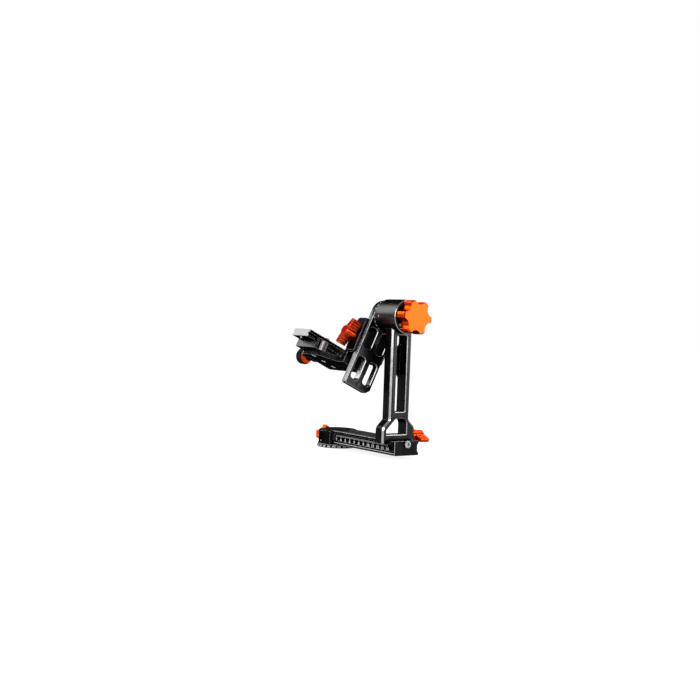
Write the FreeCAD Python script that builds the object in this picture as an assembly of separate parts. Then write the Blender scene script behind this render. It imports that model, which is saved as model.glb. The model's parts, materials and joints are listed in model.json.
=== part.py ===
import FreeCAD, Part
import math
import os
from FreeCAD import Placement, Rotation, Vector

# Gimbal tripod head, millimetres.
# The origin is the middle of the pan base's bottom face, on the tripod screw's axis.
# +Z is up, +X runs along the base arm towards the upright, and the lens looks towards -Y.
# The pieces that swing with the lens are drawn upright, with the tilt axis on X at y = z = 0,
# and are then turned about it by the resting tilt (see in_swing).

# Fits
FIT = 0.03            # radial clearance of a piece that is fixed in its seat
RUN = 0.05            # radial clearance of a shaft in its bore
GAP = 0.3             # clearance between faces that pass each other
SEAT = 0.1            # clearance between a fixed piece and the floor of its pocket

# Pan base
BASE_PROUD = 2.0      # how far the graduated disc stands out from the pan housing
BASE_H = 5.0          # height of the disc
BASE_BEVEL = 1.2      # how far the graduated rim leans in
SOCKET_R = 4.0        # 3/8 inch tripod thread, minor radius
SOCKET_DEPTH = 11.0   # threaded depth
BUSH_R = 6.5          # outside of the threaded bush
BUSH_FLANGE_R = 8.2
BUSH_FLANGE_T = 1.5
SPINDLE_R = 9.0       # pan spindle
SPINDLE_FLANGE_R = 14.0
SPINDLE_FLANGE_T = 2.0
BASE_SCREW_R = 11.5   # pitch radius of the screws between disc and spindle
PAN_BUSH_R = 11.0     # outside of the bearing sleeve round the spindle
PAN_BUSH_L = 12.0     # length of the sleeve
PAN_NUT_R = 12.0
PAN_NUT_T = 2.6
PAN_WASHER_T = 1.0
CAP_R = 16.0          # cap over the spindle nut
CAP_T = 1.0
CAP_SPIGOT_R = 14.0

# Base arm
ARM_W = 38.0          # dovetail rail's width
ARM_H = 18.8          # rail's height
ARM_END = 155.4       # from the pan axis to the rail's end face
HOUSING_R = 26.5      # round pan housing
HOUSING_END = 14.0    # where the round housing is cut off square for the rail
HOUSING_CHAMFER = 1.6
FLANGE_H = 3.2        # upright edge of the dovetail flanges
RECESS = 2.0          # depth of the dovetail's undercut
RECESS_START = 18.0   # near end of the recessed side
RECESS_MARGIN = 3.8   # full-width end left beyond the recess on the lens side
RECESS_CORNER = 3.5   # sloped corners of the recess
RAIL_BEVEL = 0.8
STOP_HEAD_R = 4.6     # silver stop screw on the end face
STOP_HEAD_T = 2.5
STOP_SHANK_R = 2.5
STOP_GRIP = 11.5
STOP_DROP = 4.2       # from the rail's top down to the stop screw's axis

# Pan lock
PAN_LOCK_DROP = 0.7   # from the rail's mid height down to the lock's axis
PAD_TRAVEL = 1.0      # how far the pan and tilt brake pads back off
LOCK_SCREW_R = 3.0    # M6 clamp screws
LOCK_PAD_R = 3.9
LOCK_PAD_L = 4.0
PAN_KNOB_R = 13.0     # corners of the three lobes
PAN_KNOB_FLAT = 11.6  # middle of a lobe's ribbed end
PAN_KNOB_L = 10.0

# Upright
UP_X0 = 120.0         # upright's inner face
UP_T = 18.6           # thickness along X
UP_W = 32.1           # width of the post along Y
UP_CHAMFER = 2.7
SLOT_W = 16.0         # slot up the post
SLOT_Z0 = 59.6
SLOT_TOP_DROP = 23.8  # from the tilt axis down to the slot's top
EDGE_BEVEL = 0.8      # bright bevels round the slot, the arch and the plate's windows
WEB_Z0 = 107.0        # thin blank web across the slot
WEB_Z1 = 142.5
WEB_T = 4.0
FOOT_W = 52.2         # foot across both legs
SHOULDER_Z = 49.4     # where the shoulder meets the post
SHOULDER_R = 9.0
LEG_DROP = 5.1        # how far the legs reach down past the rail's top
FOOT_FLOOR = 6.1      # thickness of the foot's floor
ARCH_Z = 51.0         # top of the arch
ARCH_OUT = 20.2       # arch wall on the thin leg's side
ARCH_IN = 11.8        # arch wall on the clamp's side
ARCH_SPRING = 36.5    # where the thin leg's arch wall starts to lean
JAW_T = 3.6           # thickness of the foot's loose jaw
JAW_GAP = 0.7         # gap between the jaw and the thick leg
JAW_TOP = 23.5        # from the foot's floor up to the jaw's top
FOOT_SCREW_GRIP = 24.0
FOOT_PIN_GRIP = 17.0
FOOT_PIN_SPACE = 10.8

# Tilt housing
TILT_Z = 181.8        # tilt axis above the origin
TILT_REST = 25.3      # resting tilt in degrees, lens front up
DRUM_R = 22.25        # housing radius
DRUM_X0 = 107.0       # housing's inner end
DRUM_L = 42.8         # housing's length
BEARING_R = 13.0
BEARING_L = 7.0
BEARING_INSET = 1.0   # from the housing's inner end to the first bearing
BEARING_SPACE = 14.0  # clear space between the two bearings
BEARING_RACE = 1.7    # thickness of a bearing's rings
BEARING_BALLS = 9
AXLE_R = 7.0
AXLE_FLANGE_R = 15.0
DRUM_BORE_R = 11.0
AXLE_NUT_R = 9.5
AXLE_NUT_T = 2.0
END_CAP_R = 19.6
END_CAP_T = 3.6
END_CAP_SUNK = 2.2    # how deep the end cap lies behind the housing's rim
END_CAP_SCREW_R = 16.5
END_CAP_SCREW_ANGLE = 220.7
TILT_PAD_R = 8.0
TILT_PAD_L = 2.2
TILT_SCREW_R = 4.0    # M8 tilt clamp screw
STAR_R = 22.8
STAR_VALLEY_R = 16.4
STAR_L = 18.8
STAR_NECK_R = 9.0
STAR_NECK_L = 4.4
STAR_LOBES = 6
STAR_ANGLE = 52.0     # direction of one lobe
STAR_BEVEL = 2.0      # sloped rim of the front face
STAR_TIP = 10.0       # half angle of a lobe's round tip

# Swing plate
PLATE_X0 = 94.7       # rear face
PLATE_T = 9.2
PLATE_W = 40.8
PLATE_DROP = 104.4    # from the tilt axis to the plate's bottom
PLATE_CORNER = 5.5    # sloped rear bottom corner
GROOVE_LAND = 1.2     # flange behind the edge groove
GROOVE = 1.6          # depth of the edge groove
WINDOW_W = 12.6       # lightening windows
WINDOW_CORNER = 4.0
WINDOW_Y = 10.2       # their distance from the middle
WINDOW_TOP = -23.0
WINDOW_BAR = (-64.3, -51.5)  # solid bar between the low and the high windows
WINDOW_END = 9.4      # solid end below the low windows
RING_R = 21.5         # degree ring
RING_BORE_R = 15.3
AXLE_SCREW_PCR = 11.0
PLATE_STOP_END = 5.4  # from the plate's bottom up to its stop screw
PLATE_STOP_R = 1.6

# Cradle: the height clamp behind the plate and the bracket under the lens
CLAMP_X0 = 80.0
CLAMP_TOP = -14.0
CLAMP_H = 48.0
CLAMP_LIP_T = 4.3
CRADLE_T = 7.0        # bracket's upright leg
CRADLE_LEG_W = 40.0
SHELF_TOP = -70.0     # bracket's shelf under the lens
SHELF_T = 7.0
SHELF_Y0 = -36.5
SHELF_Y1 = 14.0
HEIGHT_KNOB_Z = -41.0
HEIGHT_KNOB_TURN = 63.6
HEIGHT_SCREW_GRIP = 15.0
HEIGHT_PIN_GRIP = 12.0
HEIGHT_PIN_SPACE = 28.0

# Quick release clamp and lens plate
DOVE_W = 38.0         # lens plate's dovetail width
DOVE_FLANGE = 2.0
DOVE_IN = 3.0
QR_X0 = 4.0           # where the fixed half and the jaw meet
QR_X1 = 42.5          # outer side of the fixed half
QR_Y0 = -45.0
QR_L = 57.0
QR_FLOOR_T = 8.7
QR_WALL_H = 5.8       # dovetail walls above the floor
QR_WALL_T = 3.5       # wall outside the dovetail on the fixed half
QR_JAW_T = 6.5        # wall outside the dovetail on the jaw
QR_JAW_TONGUE = 24.0
QR_SCREW_R = 2.5      # M5
QR_SCREW_Y = -18.5
QR_SCREW_GRIP = 16.0
QR_PIN_GRIP = 12.0
QR_PIN_SPACE = 17.0
QR_BOSS_R = 5.5
QR_BOSS_Y = -33.5
QR_CORNER = 2.0       # sloped front corner of the fixed half
QR_SPIGOT_R = 4.4     # the cap's spigot, which carries the coloured hub
QR_NECK_R = 6.4       # thin end of the hub, beside the jaw
QR_NECK_L = 5.7
QR_COLLAR_R = 9.2
QR_COLLAR_T = 2.2
QR_CAP_R = 11.0
QR_CAP_L = 9.5
CLAMP_SCREW_X = 27.0
CLAMP_SCREW_R = 1.75
CLAMP_SCREW_HEAD_R = 3.2
CLAMP_SCREW_HEAD_T = 3.2
CLAMP_SCREW_GRIP = 5.0
CLAMP_SCREW_PLACES = (-32.0, -14.5, 3.0)
LENS_FRONT = 15.0     # how far the lens plate stands out in front of the clamp
LENS_REAR = 11.0
LENS_NECK = 1.1
LENS_TOP_T = 3.9
LENS_SLOT_W = 7.0
LENS_SLOT_L = 44.0
LENS_SLOT_STEP = 5.5  # depth of the wide part of the slot, from below
LENS_HEAD_R = 6.6
LENS_HEAD_T = 4.2
LENS_STEM_R = 2.8     # captive screw's stem inside the slot
LENS_STUD_R = 3.1     # 1/4 inch thread above the plate
LENS_STUD_L = 5.0
PAD_T = 1.0
PAD_PROUD = 0.5
PAD_END = 4.0         # from the lens plate's ends to its pads
STOP_PIN_R = 1.5
STOP_PIN_IN = 3.0     # from the lens plate's end to its stop pin

# Wing knobs
WING_R = 18.8         # half the wing's length
WING_ROOT_T = 9.6     # wing's thickness at the middle and at the tips
WING_TIP_T = 5.2
WING_Z = 3.0          # from the knob's seat to the wing
KNOB_HUB_R = 7.2
KNOB_L = 17.4
WING_RIBS = 3         # grooves on each side of each wing
WING_RIB_R = 1.0
WING_RIB_PITCH = 3.8
WING_RIB_END = 3.2    # from the wing's tip to the first groove
RIB_R = 0.75
RIB_PITCH = 2.4

# Small screws and guide pins
LOOSE = 0.2           # radial clearance of a screw that only passes through
HEAD_SUNK = 0.2       # depth of a sunk head below the surface
CAP_SCREW_R = 1.25    # M2.5 screws of the tilt end cap
CAP_SCREW_HEAD_R = 2.3
CAP_SCREW_HEAD_T = 1.6
CAP_SCREW_GRIP = 6.0
M3_R = 1.5            # screws of the pan base and of the tilt axle
FLAT_HEAD_R = 2.9
FLAT_HEAD_T = 1.4
AXLE_HEAD_R = 2.8
AXLE_HEAD_T = 3.0
M4_R = 2.0            # screws that join the height clamp and the bracket
M4_HEAD_R = 3.6
M4_HEAD_T = 3.8
M4_GRIP = 5.0
BRACKET_SCREW_Y = 10.0
BRACKET_SCREW_INSET = 8.0
FOOT_SCREW_R = 2.5    # M5
FOOT_PIN_R = 1.0
GUIDE_PIN_R = 1.5     # pins of the height jaw and of the quick release jaw
PIN_COVER = 1.0       # wall left over the blind end of a guide pin
KNOB_WALL = 3.0       # solid end of a knob beyond its screw

# Worked out from the sizes above
BASE_R = HOUSING_R + BASE_PROUD
ARM_Z0 = BASE_H + GAP
ARM_Z1 = ARM_Z0 + ARM_H
UP_X1 = UP_X0 + UP_T
UP_XM = UP_X0 + UP_T / 2
LEG_Z = ARM_Z1 - LEG_DROP
FLOOR_Z = ARM_Z1 + GAP
FOOT_SCREW_Z = FLOOR_Z + FOOT_FLOOR / 2
PAN_LOCK_Z = (ARM_Z0 + ARM_Z1) / 2 - PAN_LOCK_DROP
PLATE_X1 = PLATE_X0 + PLATE_T
PLATE_STOP_Z = PLATE_STOP_END - PLATE_DROP
LOW_WINDOW = (WINDOW_END - PLATE_DROP, WINDOW_BAR[0])
HIGH_WINDOW = (WINDOW_BAR[1], WINDOW_TOP)
DRUM_X1 = DRUM_X0 + DRUM_L
CLAMP_X1 = PLATE_X0 - GAP
CLAMP_Z0 = CLAMP_TOP - CLAMP_H
CLAMP_XM = (CLAMP_X0 + PLATE_X0) / 2
SHELF_Z = SHELF_TOP - SHELF_T
QR_FLOOR = SHELF_TOP + QR_FLOOR_T
QR_TOP = QR_FLOOR + QR_WALL_H
QR_Y1 = QR_Y0 + QR_L
QR_SCREW_Z = SHELF_TOP - SHELF_T / 2
LENS_Z = QR_FLOOR + GAP
LENS_XM = QR_X1 - QR_WALL_T - DOVE_W / 2
LENS_TOP = LENS_Z + DOVE_FLANGE + DOVE_IN + LENS_NECK + LENS_TOP_T
LENS_Y0 = QR_Y0 - LENS_FRONT
LENS_Y1 = QR_Y1 + LENS_REAR
LENS_YM = (LENS_Y0 + LENS_Y1) / 2
PAD_TOP = LENS_TOP + PAD_PROUD
SWING = Placement(Vector(0, 0, TILT_Z), Rotation(Vector(1, 0, 0), -TILT_REST))


def point(axis, along, u, v):
    """A point from its place along an axis and its other two coordinates, in X, Y, Z order."""
    if axis == "x":
        return Vector(along, u, v)
    if axis == "y":
        return Vector(u, along, v)
    return Vector(u, v, along)


def direction(axis):
    return point(axis, 1, 0, 0)


def rounded_wire(corners, axis, along):
    """A closed wire through (u, v) or (u, v, radius) corners, across an axis."""
    count = len(corners)
    starts = []
    ends = []
    middles = []
    for i, corner in enumerate(corners):
        here = Vector(corner[0], corner[1], 0)
        radius = corner[2] if len(corner) > 2 else 0
        if not radius:
            starts.append(here)
            ends.append(here)
            middles.append(None)
            continue
        before = Vector(corners[i - 1][0], corners[i - 1][1], 0)
        after = Vector(corners[(i + 1) % count][0], corners[(i + 1) % count][1], 0)
        back = (before - here).normalize()
        ahead = (after - here).normalize()
        half = back.getAngle(ahead) / 2
        inward = (back + ahead).normalize()
        reach = radius / math.tan(half)
        starts.append(here + back * reach)
        ends.append(here + ahead * reach)
        middles.append(here + inward * (radius / math.sin(half) - radius))
    edges = []
    for i in range(count):
        start, end, middle = (place(p, axis, along) for p in (starts[i], ends[i], middles[i]))
        if middle:
            edges.append(Part.Arc(start, middle, end).toShape())
        follow = place(starts[(i + 1) % count], axis, along)
        if end.distanceToPoint(follow) > 1e-6:
            edges.append(Part.LineSegment(end, follow).toShape())
    return Part.Wire(edges)


def place(flat, axis, along):
    return point(axis, along, flat.x, flat.y) if flat else None


def prism(corners, axis, low, high):
    """A solid of constant section between two places along an axis."""
    face = Part.Face(rounded_wire(corners, axis, low))
    return face.extrude(direction(axis) * (high - low))


def box(x0, x1, y0, y1, z0, z1):
    return Part.makeBox(x1 - x0, y1 - y0, z1 - z0, Vector(x0, y0, z0))


def rod(axis, radius, low, high, u=0, v=0):
    return Part.makeCylinder(radius, high - low, point(axis, low, u, v), direction(axis))


def turned(axis, profile, u=0, v=0):
    """A turned solid from (place along the axis, radius) corners."""
    side = direction("x" if axis == "z" else "z")
    corners = [point(axis, along, u, v) + side * radius for along, radius in profile]
    face = Part.Face(Part.makePolygon(corners + corners[:1]))
    return face.revolve(point(axis, 0, u, v), direction(axis), 360)


def joined(shapes):
    solid = shapes[0]
    for shape in shapes[1:]:
        solid = solid.fuse(shape)
    return solid.removeSplitter()


def cut(shape, *tools):
    for tool in tools:
        shape = shape.cut(tool)
    return shape


def bevelled(solid, x, outlines):
    """A solid with a bevel round each opening in its face at x, for outlines in Y and Z."""
    for outline in outlines:
        ys = [corner[0] for corner in outline]
        zs = [corner[1] for corner in outline]
        edges = []
        for edge in solid.Edges:
            bound = edge.BoundBox
            in_face = bound.XLength < 0.01 and abs(bound.XMax - x) < 0.01
            beside = min(ys) - 0.01 < bound.YMin and bound.YMax < max(ys) + 0.01
            level = min(zs) - 0.01 < bound.ZMin and bound.ZMax < max(zs) + 0.01
            if in_face and beside and level:
                edges.append(edge)
        solid = solid.makeChamfer(EDGE_BEVEL, edges)
    return solid


def stadium(u, v0, v1, width, axis, low, high):
    """A slot cutter with round ends, its middle line at u from v0 to v1."""
    half = width / 2
    turn = half * 0.999
    corners = [(u - half, v0, turn), (u + half, v0, turn), (u + half, v1, turn), (u - half, v1, turn)]
    return prism(corners, axis, low, high)


def ring_points(count, radius, first=0.0):
    """Points spaced round a circle, as (u, v) pairs."""
    turns = [math.radians(first + 360 * i / count) for i in range(count)]
    return [(radius * math.cos(turn), radius * math.sin(turn)) for turn in turns]


def in_swing(shape):
    """Turn a piece that was drawn upright round the tilt axis to its resting place."""
    moved = shape.copy()
    moved.Placement = SWING.multiply(moved.Placement)
    return moved


def screw(axis, head_r, head_low, head_high, shank_r, shank_end, u=0, v=0, socket=0.0):
    """A cap screw: its head between two places, its shank on to shank_end, and its socket."""
    inward = shank_end < head_low
    seat = head_low if inward else head_high
    face = head_high if inward else head_low
    shank = rod(axis, shank_r, min(seat, shank_end), max(seat, shank_end), u, v)
    solid = joined([rod(axis, head_r, head_low, head_high, u, v), shank])
    if socket:
        depth = abs(head_high - head_low) * 0.6
        low = face - depth if inward else face
        hexagon = [(u + a, v + b) for a, b in ring_points(6, socket)]
        solid = solid.cut(prism(hexagon, axis, low, low + depth))
    return solid


# ---------------------------------------------------------------- pan base

SPINDLE_TOP = ARM_Z1 - CAP_T * 0.4 - SEAT


def pan_base():
    disc = turned("z", [(0, 0), (0, BASE_R - 0.5), (0.5, BASE_R), (1.0, BASE_R),
                        (BASE_H, BASE_R - BASE_BEVEL), (BASE_H, 0)])
    disc = cut(disc, rod("z", BUSH_R + FIT, 0, BASE_H), rod("z", BUSH_FLANGE_R + FIT, 0, BUSH_FLANGE_T))
    relief = cut(rod("z", BASE_R - 6, 0, 0.6), rod("z", BASE_SCREW_R + 4.5, 0, 0.6))
    disc = disc.cut(relief)
    for u, v in ring_points(3, BASE_SCREW_R, 90):
        disc = disc.cut(rod("z", M3_R + FIT, 0, BASE_H, u, v))
        disc = disc.cut(turned("z", [(0, 0), (0, FLAT_HEAD_R + SEAT + FIT),
                                     (FLAT_HEAD_T + SEAT, M3_R + FIT), (FLAT_HEAD_T + SEAT, 0)], u, v))
    return disc


def thread_bush():
    top = SOCKET_DEPTH + 1.5
    body = turned("z", [(0, 0), (0, BUSH_FLANGE_R), (BUSH_FLANGE_T, BUSH_FLANGE_R),
                        (BUSH_FLANGE_T, BUSH_R), (top, BUSH_R), (top, 0)])
    return body.cut(rod("z", SOCKET_R, 0, SOCKET_DEPTH))


def pan_spindle():
    flange_top = BASE_H + SPINDLE_FLANGE_T
    body = turned("z", [(BASE_H, 0), (BASE_H, SPINDLE_FLANGE_R), (flange_top, SPINDLE_FLANGE_R),
                        (flange_top, SPINDLE_R), (SPINDLE_TOP - 1, SPINDLE_R),
                        (SPINDLE_TOP, SPINDLE_R - 1), (SPINDLE_TOP, 0)])
    body = body.cut(rod("z", BUSH_R + FIT, BASE_H, SOCKET_DEPTH + 1.5 + SEAT))
    for u, v in ring_points(3, BASE_SCREW_R, 90):
        body = body.cut(rod("z", M3_R + FIT, BASE_H, flange_top, u, v))
    return body


def base_screws():
    top = BASE_H + SPINDLE_FLANGE_T
    screws = []
    for u, v in ring_points(3, BASE_SCREW_R, 90):
        screws.append(turned("z", [(SEAT, 0), (SEAT, FLAT_HEAD_R), (FLAT_HEAD_T + SEAT, M3_R),
                                   (top, M3_R), (top, 0)], u, v))
    return Part.makeCompound(screws)


PAN_BUSH_Z = BASE_H + SPINDLE_FLANGE_T + GAP
PAN_BUSH_TOP = PAN_BUSH_Z + PAN_BUSH_L


def pan_bush():
    sleeve = rod("z", PAN_BUSH_R, PAN_BUSH_Z, PAN_BUSH_TOP)
    sleeve = sleeve.cut(rod("z", SPINDLE_R + RUN, PAN_BUSH_Z, PAN_BUSH_TOP))
    return sleeve.cut(rod("x", LOCK_PAD_R + RUN, -PAN_BUSH_R - 1, 0, 0, PAN_LOCK_Z))


def pan_washer():
    low = PAN_BUSH_TOP + SEAT
    high = low + PAN_WASHER_T
    return cut(rod("z", PAN_NUT_R, low, high), rod("z", SPINDLE_R + FIT, low, high))


def pan_nut():
    low = PAN_BUSH_TOP + SEAT + PAN_WASHER_T
    nut = cut(rod("z", PAN_NUT_R, low, low + PAN_NUT_T), rod("z", SPINDLE_R + FIT, low, low + PAN_NUT_T))
    for u, v in ring_points(4, PAN_NUT_R):
        nut = nut.cut(box(u - 1.5, u + 1.5, v - 1.5, v + 1.5, low, low + PAN_NUT_T))
    return nut


# ---------------------------------------------------------------- base arm

PAN_PAD_X = -SPINDLE_R - GAP
PAN_KNOB_X = -HOUSING_R - 1.4


def rail_recess(side, margin):
    """The shallow dovetail recess down one side of the rail, with sloped corners."""
    outer = ARM_W / 2 + 0.01
    inner = ARM_W / 2 - RECESS
    wires = []
    for y, inset in ((outer, 0), (inner, RECESS)):
        x0 = RECESS_START + inset
        x1 = ARM_END - margin - inset
        z0 = ARM_Z0 + FLANGE_H + inset
        z1 = ARM_Z1 - FLANGE_H - inset
        c = RECESS_CORNER - inset / 2
        corners = [(x0 + c, z0), (x1 - c, z0), (x1, z0 + c), (x1, z1 - c),
                   (x1 - c, z1), (x0 + c, z1), (x0, z1 - c), (x0, z0 + c)]
        wires.append(rounded_wire(corners, "y", side * y))
    return Part.makeLoft(wires, True, True)


def base_arm():
    housing = turned("z", [(ARM_Z0, 0), (ARM_Z0, HOUSING_R), (ARM_Z1 - HOUSING_CHAMFER, HOUSING_R),
                           (ARM_Z1, HOUSING_R - HOUSING_CHAMFER), (ARM_Z1, 0)])
    housing = housing.cut(box(HOUSING_END, 2 * HOUSING_R, -HOUSING_R, HOUSING_R, ARM_Z0, ARM_Z1))
    rail = box(0, ARM_END, -ARM_W / 2, ARM_W / 2, ARM_Z0, ARM_Z1)
    edges = [e for e in rail.Edges if abs(e.Vertexes[0].Y - e.Vertexes[-1].Y) < 1e-6
             and e.BoundBox.XLength > 1]
    rail = rail.makeChamfer(RAIL_BEVEL, edges)
    arm = joined([housing, rail])
    arm = cut(arm, rail_recess(-1, RECESS_MARGIN), rail_recess(1, -2 * RECESS_CORNER))
    arm = cut(arm, rod("z", SPINDLE_FLANGE_R + GAP, ARM_Z0, PAN_BUSH_Z),
              rod("z", PAN_BUSH_R + FIT, PAN_BUSH_Z, PAN_BUSH_TOP),
              rod("z", CAP_SPIGOT_R + FIT, PAN_BUSH_TOP, ARM_Z1),
              rod("x", LOCK_PAD_R + RUN, PAN_PAD_X - LOCK_PAD_L - PAD_TRAVEL - SEAT, 0, 0, PAN_LOCK_Z),
              rod("x", LOCK_SCREW_R + RUN, -HOUSING_R, 0, 0, PAN_LOCK_Z))
    stop_z = ARM_Z1 - STOP_DROP
    return arm.cut(rod("x", STOP_SHANK_R + FIT, ARM_END - STOP_GRIP - 0.5, ARM_END, 0, stop_z))


def pan_cap():
    spigot = rod("z", CAP_SPIGOT_R, ARM_Z1 - CAP_T * 0.4, ARM_Z1)
    disc = turned("z", [(ARM_Z1, 0), (ARM_Z1, CAP_R), (ARM_Z1 + CAP_T * 0.5, CAP_R),
                        (ARM_Z1 + CAP_T, CAP_R - 1), (ARM_Z1 + CAP_T, 0)])
    return joined([spigot, disc])


def arm_stop_screw():
    return screw("x", STOP_HEAD_R, ARM_END, ARM_END + STOP_HEAD_T, STOP_SHANK_R, ARM_END - STOP_GRIP,
                 0, ARM_Z1 - STOP_DROP, socket=2.6)


# ---------------------------------------------------------------- pan lock

def pan_lock_pad():
    return rod("x", LOCK_PAD_R, PAN_PAD_X - LOCK_PAD_L, PAN_PAD_X, 0, PAN_LOCK_Z)


def pan_lock_screw():
    return rod("x", LOCK_SCREW_R, PAN_KNOB_X - PAN_KNOB_L + 2, PAN_PAD_X - LOCK_PAD_L, 0, PAN_LOCK_Z)


def lobed_outline(lobes, tip_r, corner_r, valley_r, tip_angle, first):
    """Outline of a lobed knob: curved lobe ends joined by hollow valleys."""
    edges = []
    step = 360 / lobes
    for i in range(lobes):
        middle = first + step * i

        def at(radius, angle):
            turn = math.radians(angle)
            return Vector(0, radius * math.cos(turn), radius * math.sin(turn))

        start = at(corner_r, middle - tip_angle)
        end = at(corner_r, middle + tip_angle)
        edges.append(Part.Arc(start, at(tip_r, middle), end).toShape())
        follow = at(corner_r, middle + step - tip_angle)
        edges.append(Part.Arc(end, at(valley_r, middle + step / 2), follow).toShape())
    return Part.Wire(edges)


def pan_lock_knob():
    """Three wide lobes with ribbed ends."""
    outline = lobed_outline(3, PAN_KNOB_FLAT, PAN_KNOB_R, PAN_KNOB_R * 0.6, 28, 180)
    x1 = PAN_KNOB_X - 2.0
    x0 = PAN_KNOB_X - PAN_KNOB_L
    head = Part.Face(outline).extrude(Vector(x1 - x0, 0, 0))
    for lobe in range(3):
        for i in range(-2, 3):
            rib = rod("x", RIB_R, 0, x1 - x0, PAN_KNOB_FLAT + 0.2, RIB_PITCH * i)
            rib.rotate(Vector(0, 0, 0), Vector(1, 0, 0), 180 + 120 * lobe)
            head = head.cut(rib)
    head.translate(Vector(x0, 0, PAN_LOCK_Z))
    head = head.common(turned("x", [(x0, 0), (x0, PAN_KNOB_R - 1.2), (x0 + 1.2, PAN_KNOB_R),
                                    (x0 + 2.2, PAN_KNOB_R + 0.5), (x1, PAN_KNOB_R + 0.5), (x1, 0)],
                              0, PAN_LOCK_Z))
    knob = joined([head, rod("x", 5.2, x1, PAN_KNOB_X, 0, PAN_LOCK_Z)])
    return knob.cut(rod("x", LOCK_SCREW_R + FIT, x0 + 2, PAN_KNOB_X, 0, PAN_LOCK_Z))


# ---------------------------------------------------------------- upright

def foot_outline():
    """Outline of the upright from the leg bottoms to the tilt axis, in Y and Z."""
    half = FOOT_W / 2
    post = UP_W / 2
    corner = SHOULDER_Z - (half - post)
    left = [(-post, TILT_Z), (-post, SHOULDER_Z, 3.0), (-half, corner, SHOULDER_R), (-half, LEG_Z)]
    right = [(-y, z, *rest) for y, z, *rest in reversed(left)]
    return left + right


def rail_channel(reach):
    """Room for the rail's top flanges, a clearance larger than the rail, out to reach below."""
    side = ARM_W / 2 + GAP
    inner = ARM_W / 2 - RECESS + GAP
    bend = GAP * math.tan(math.radians(22.5))
    under = ARM_Z1 - FLANGE_H - bend
    lip = under - (side - inner)
    half = [(side, FLOOR_Z), (side, under), (inner, lip), (inner, reach)]
    corners = half + [(-y, z) for y, z in reversed(half)]
    return prism(corners, "x", UP_X0 - 1, UP_X1 + 1)


def jaw_region():
    """The part of the foot that belongs to the loose jaw."""
    back = FOOT_W / 2 - JAW_T
    top = FLOOR_Z + JAW_TOP
    corners = [(0, LEG_Z - 1), (0, ARM_Z1), (back, ARM_Z1), (back, top), (FOOT_W, top),
               (FOOT_W, LEG_Z - 1)]
    return prism(corners, "x", UP_X0 - 1, UP_X1 + 1)


def jaw_room():
    """What is cut from the foot to leave the jaw its gap."""
    back = FOOT_W / 2 - JAW_T - JAW_GAP
    top = FLOOR_Z + JAW_TOP + JAW_GAP
    corners = [(0, LEG_Z - 1), (0, FLOOR_Z), (back, FLOOR_Z), (back, top), (FOOT_W, top),
               (FOOT_W, LEG_Z - 1)]
    return prism(corners, "x", UP_X0 - 1, UP_X1 + 1)


def foot_block():
    """The whole foot and post with its bright bevelled edges, before anything is cut from it."""
    solid = prism(foot_outline(), "x", UP_X0, UP_X1)
    edges = []
    for edge in solid.Edges:
        middle = edge.valueAt((edge.FirstParameter + edge.LastParameter) / 2)
        across = edge.BoundBox.XLength > 0.01
        if not across and LEG_Z + 0.1 < middle.z < TILT_Z - 0.1:
            edges.append(edge)
    return solid.makeChamfer(UP_CHAMFER, edges)


def arch_outline():
    return [(-ARCH_OUT, FLOOR_Z + FOOT_FLOOR), (-ARCH_OUT, ARCH_SPRING, 4.0),
            (-ARCH_OUT + ARCH_Z - ARCH_SPRING, ARCH_Z, 5.0),
            (ARCH_IN, ARCH_Z, 8.5), (ARCH_IN, FLOOR_Z + FOOT_FLOOR)]


def slot_outline(low, low_corner, high, high_corner):
    half = SLOT_W / 2
    return [(-half, low, low_corner), (half, low, low_corner),
            (half, high, high_corner), (-half, high, high_corner)]


def post_recess():
    return slot_outline(SLOT_Z0, 1.0, TILT_Z - SLOT_TOP_DROP, 3.0)


def post_slots():
    """The recess up the post's outer side, and the openings above and below its blank web."""
    low = slot_outline(SLOT_Z0, 1.0, WEB_Z0, 6.0)
    high = slot_outline(WEB_Z1, 6.0, TILT_Z - SLOT_TOP_DROP, 3.0)
    return [prism(post_recess(), "x", UP_X0 + WEB_T, UP_X1 + 1),
            prism(low, "x", UP_X0 - 1, UP_X1 + 1),
            prism(high, "x", UP_X0 - 1, UP_X1 + 1)]


FOOT_SCREW_END = FOOT_W / 2 - FOOT_SCREW_GRIP
BEARING_X = (DRUM_X0 + BEARING_INSET, DRUM_X0 + BEARING_INSET + BEARING_L + BEARING_SPACE)
CAP_X1 = DRUM_X1 - END_CAP_SUNK
CAP_X0 = CAP_X1 - END_CAP_T
AXLE_END = CAP_X0 - TILT_PAD_L - PAD_TRAVEL - GAP - SEAT


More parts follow.
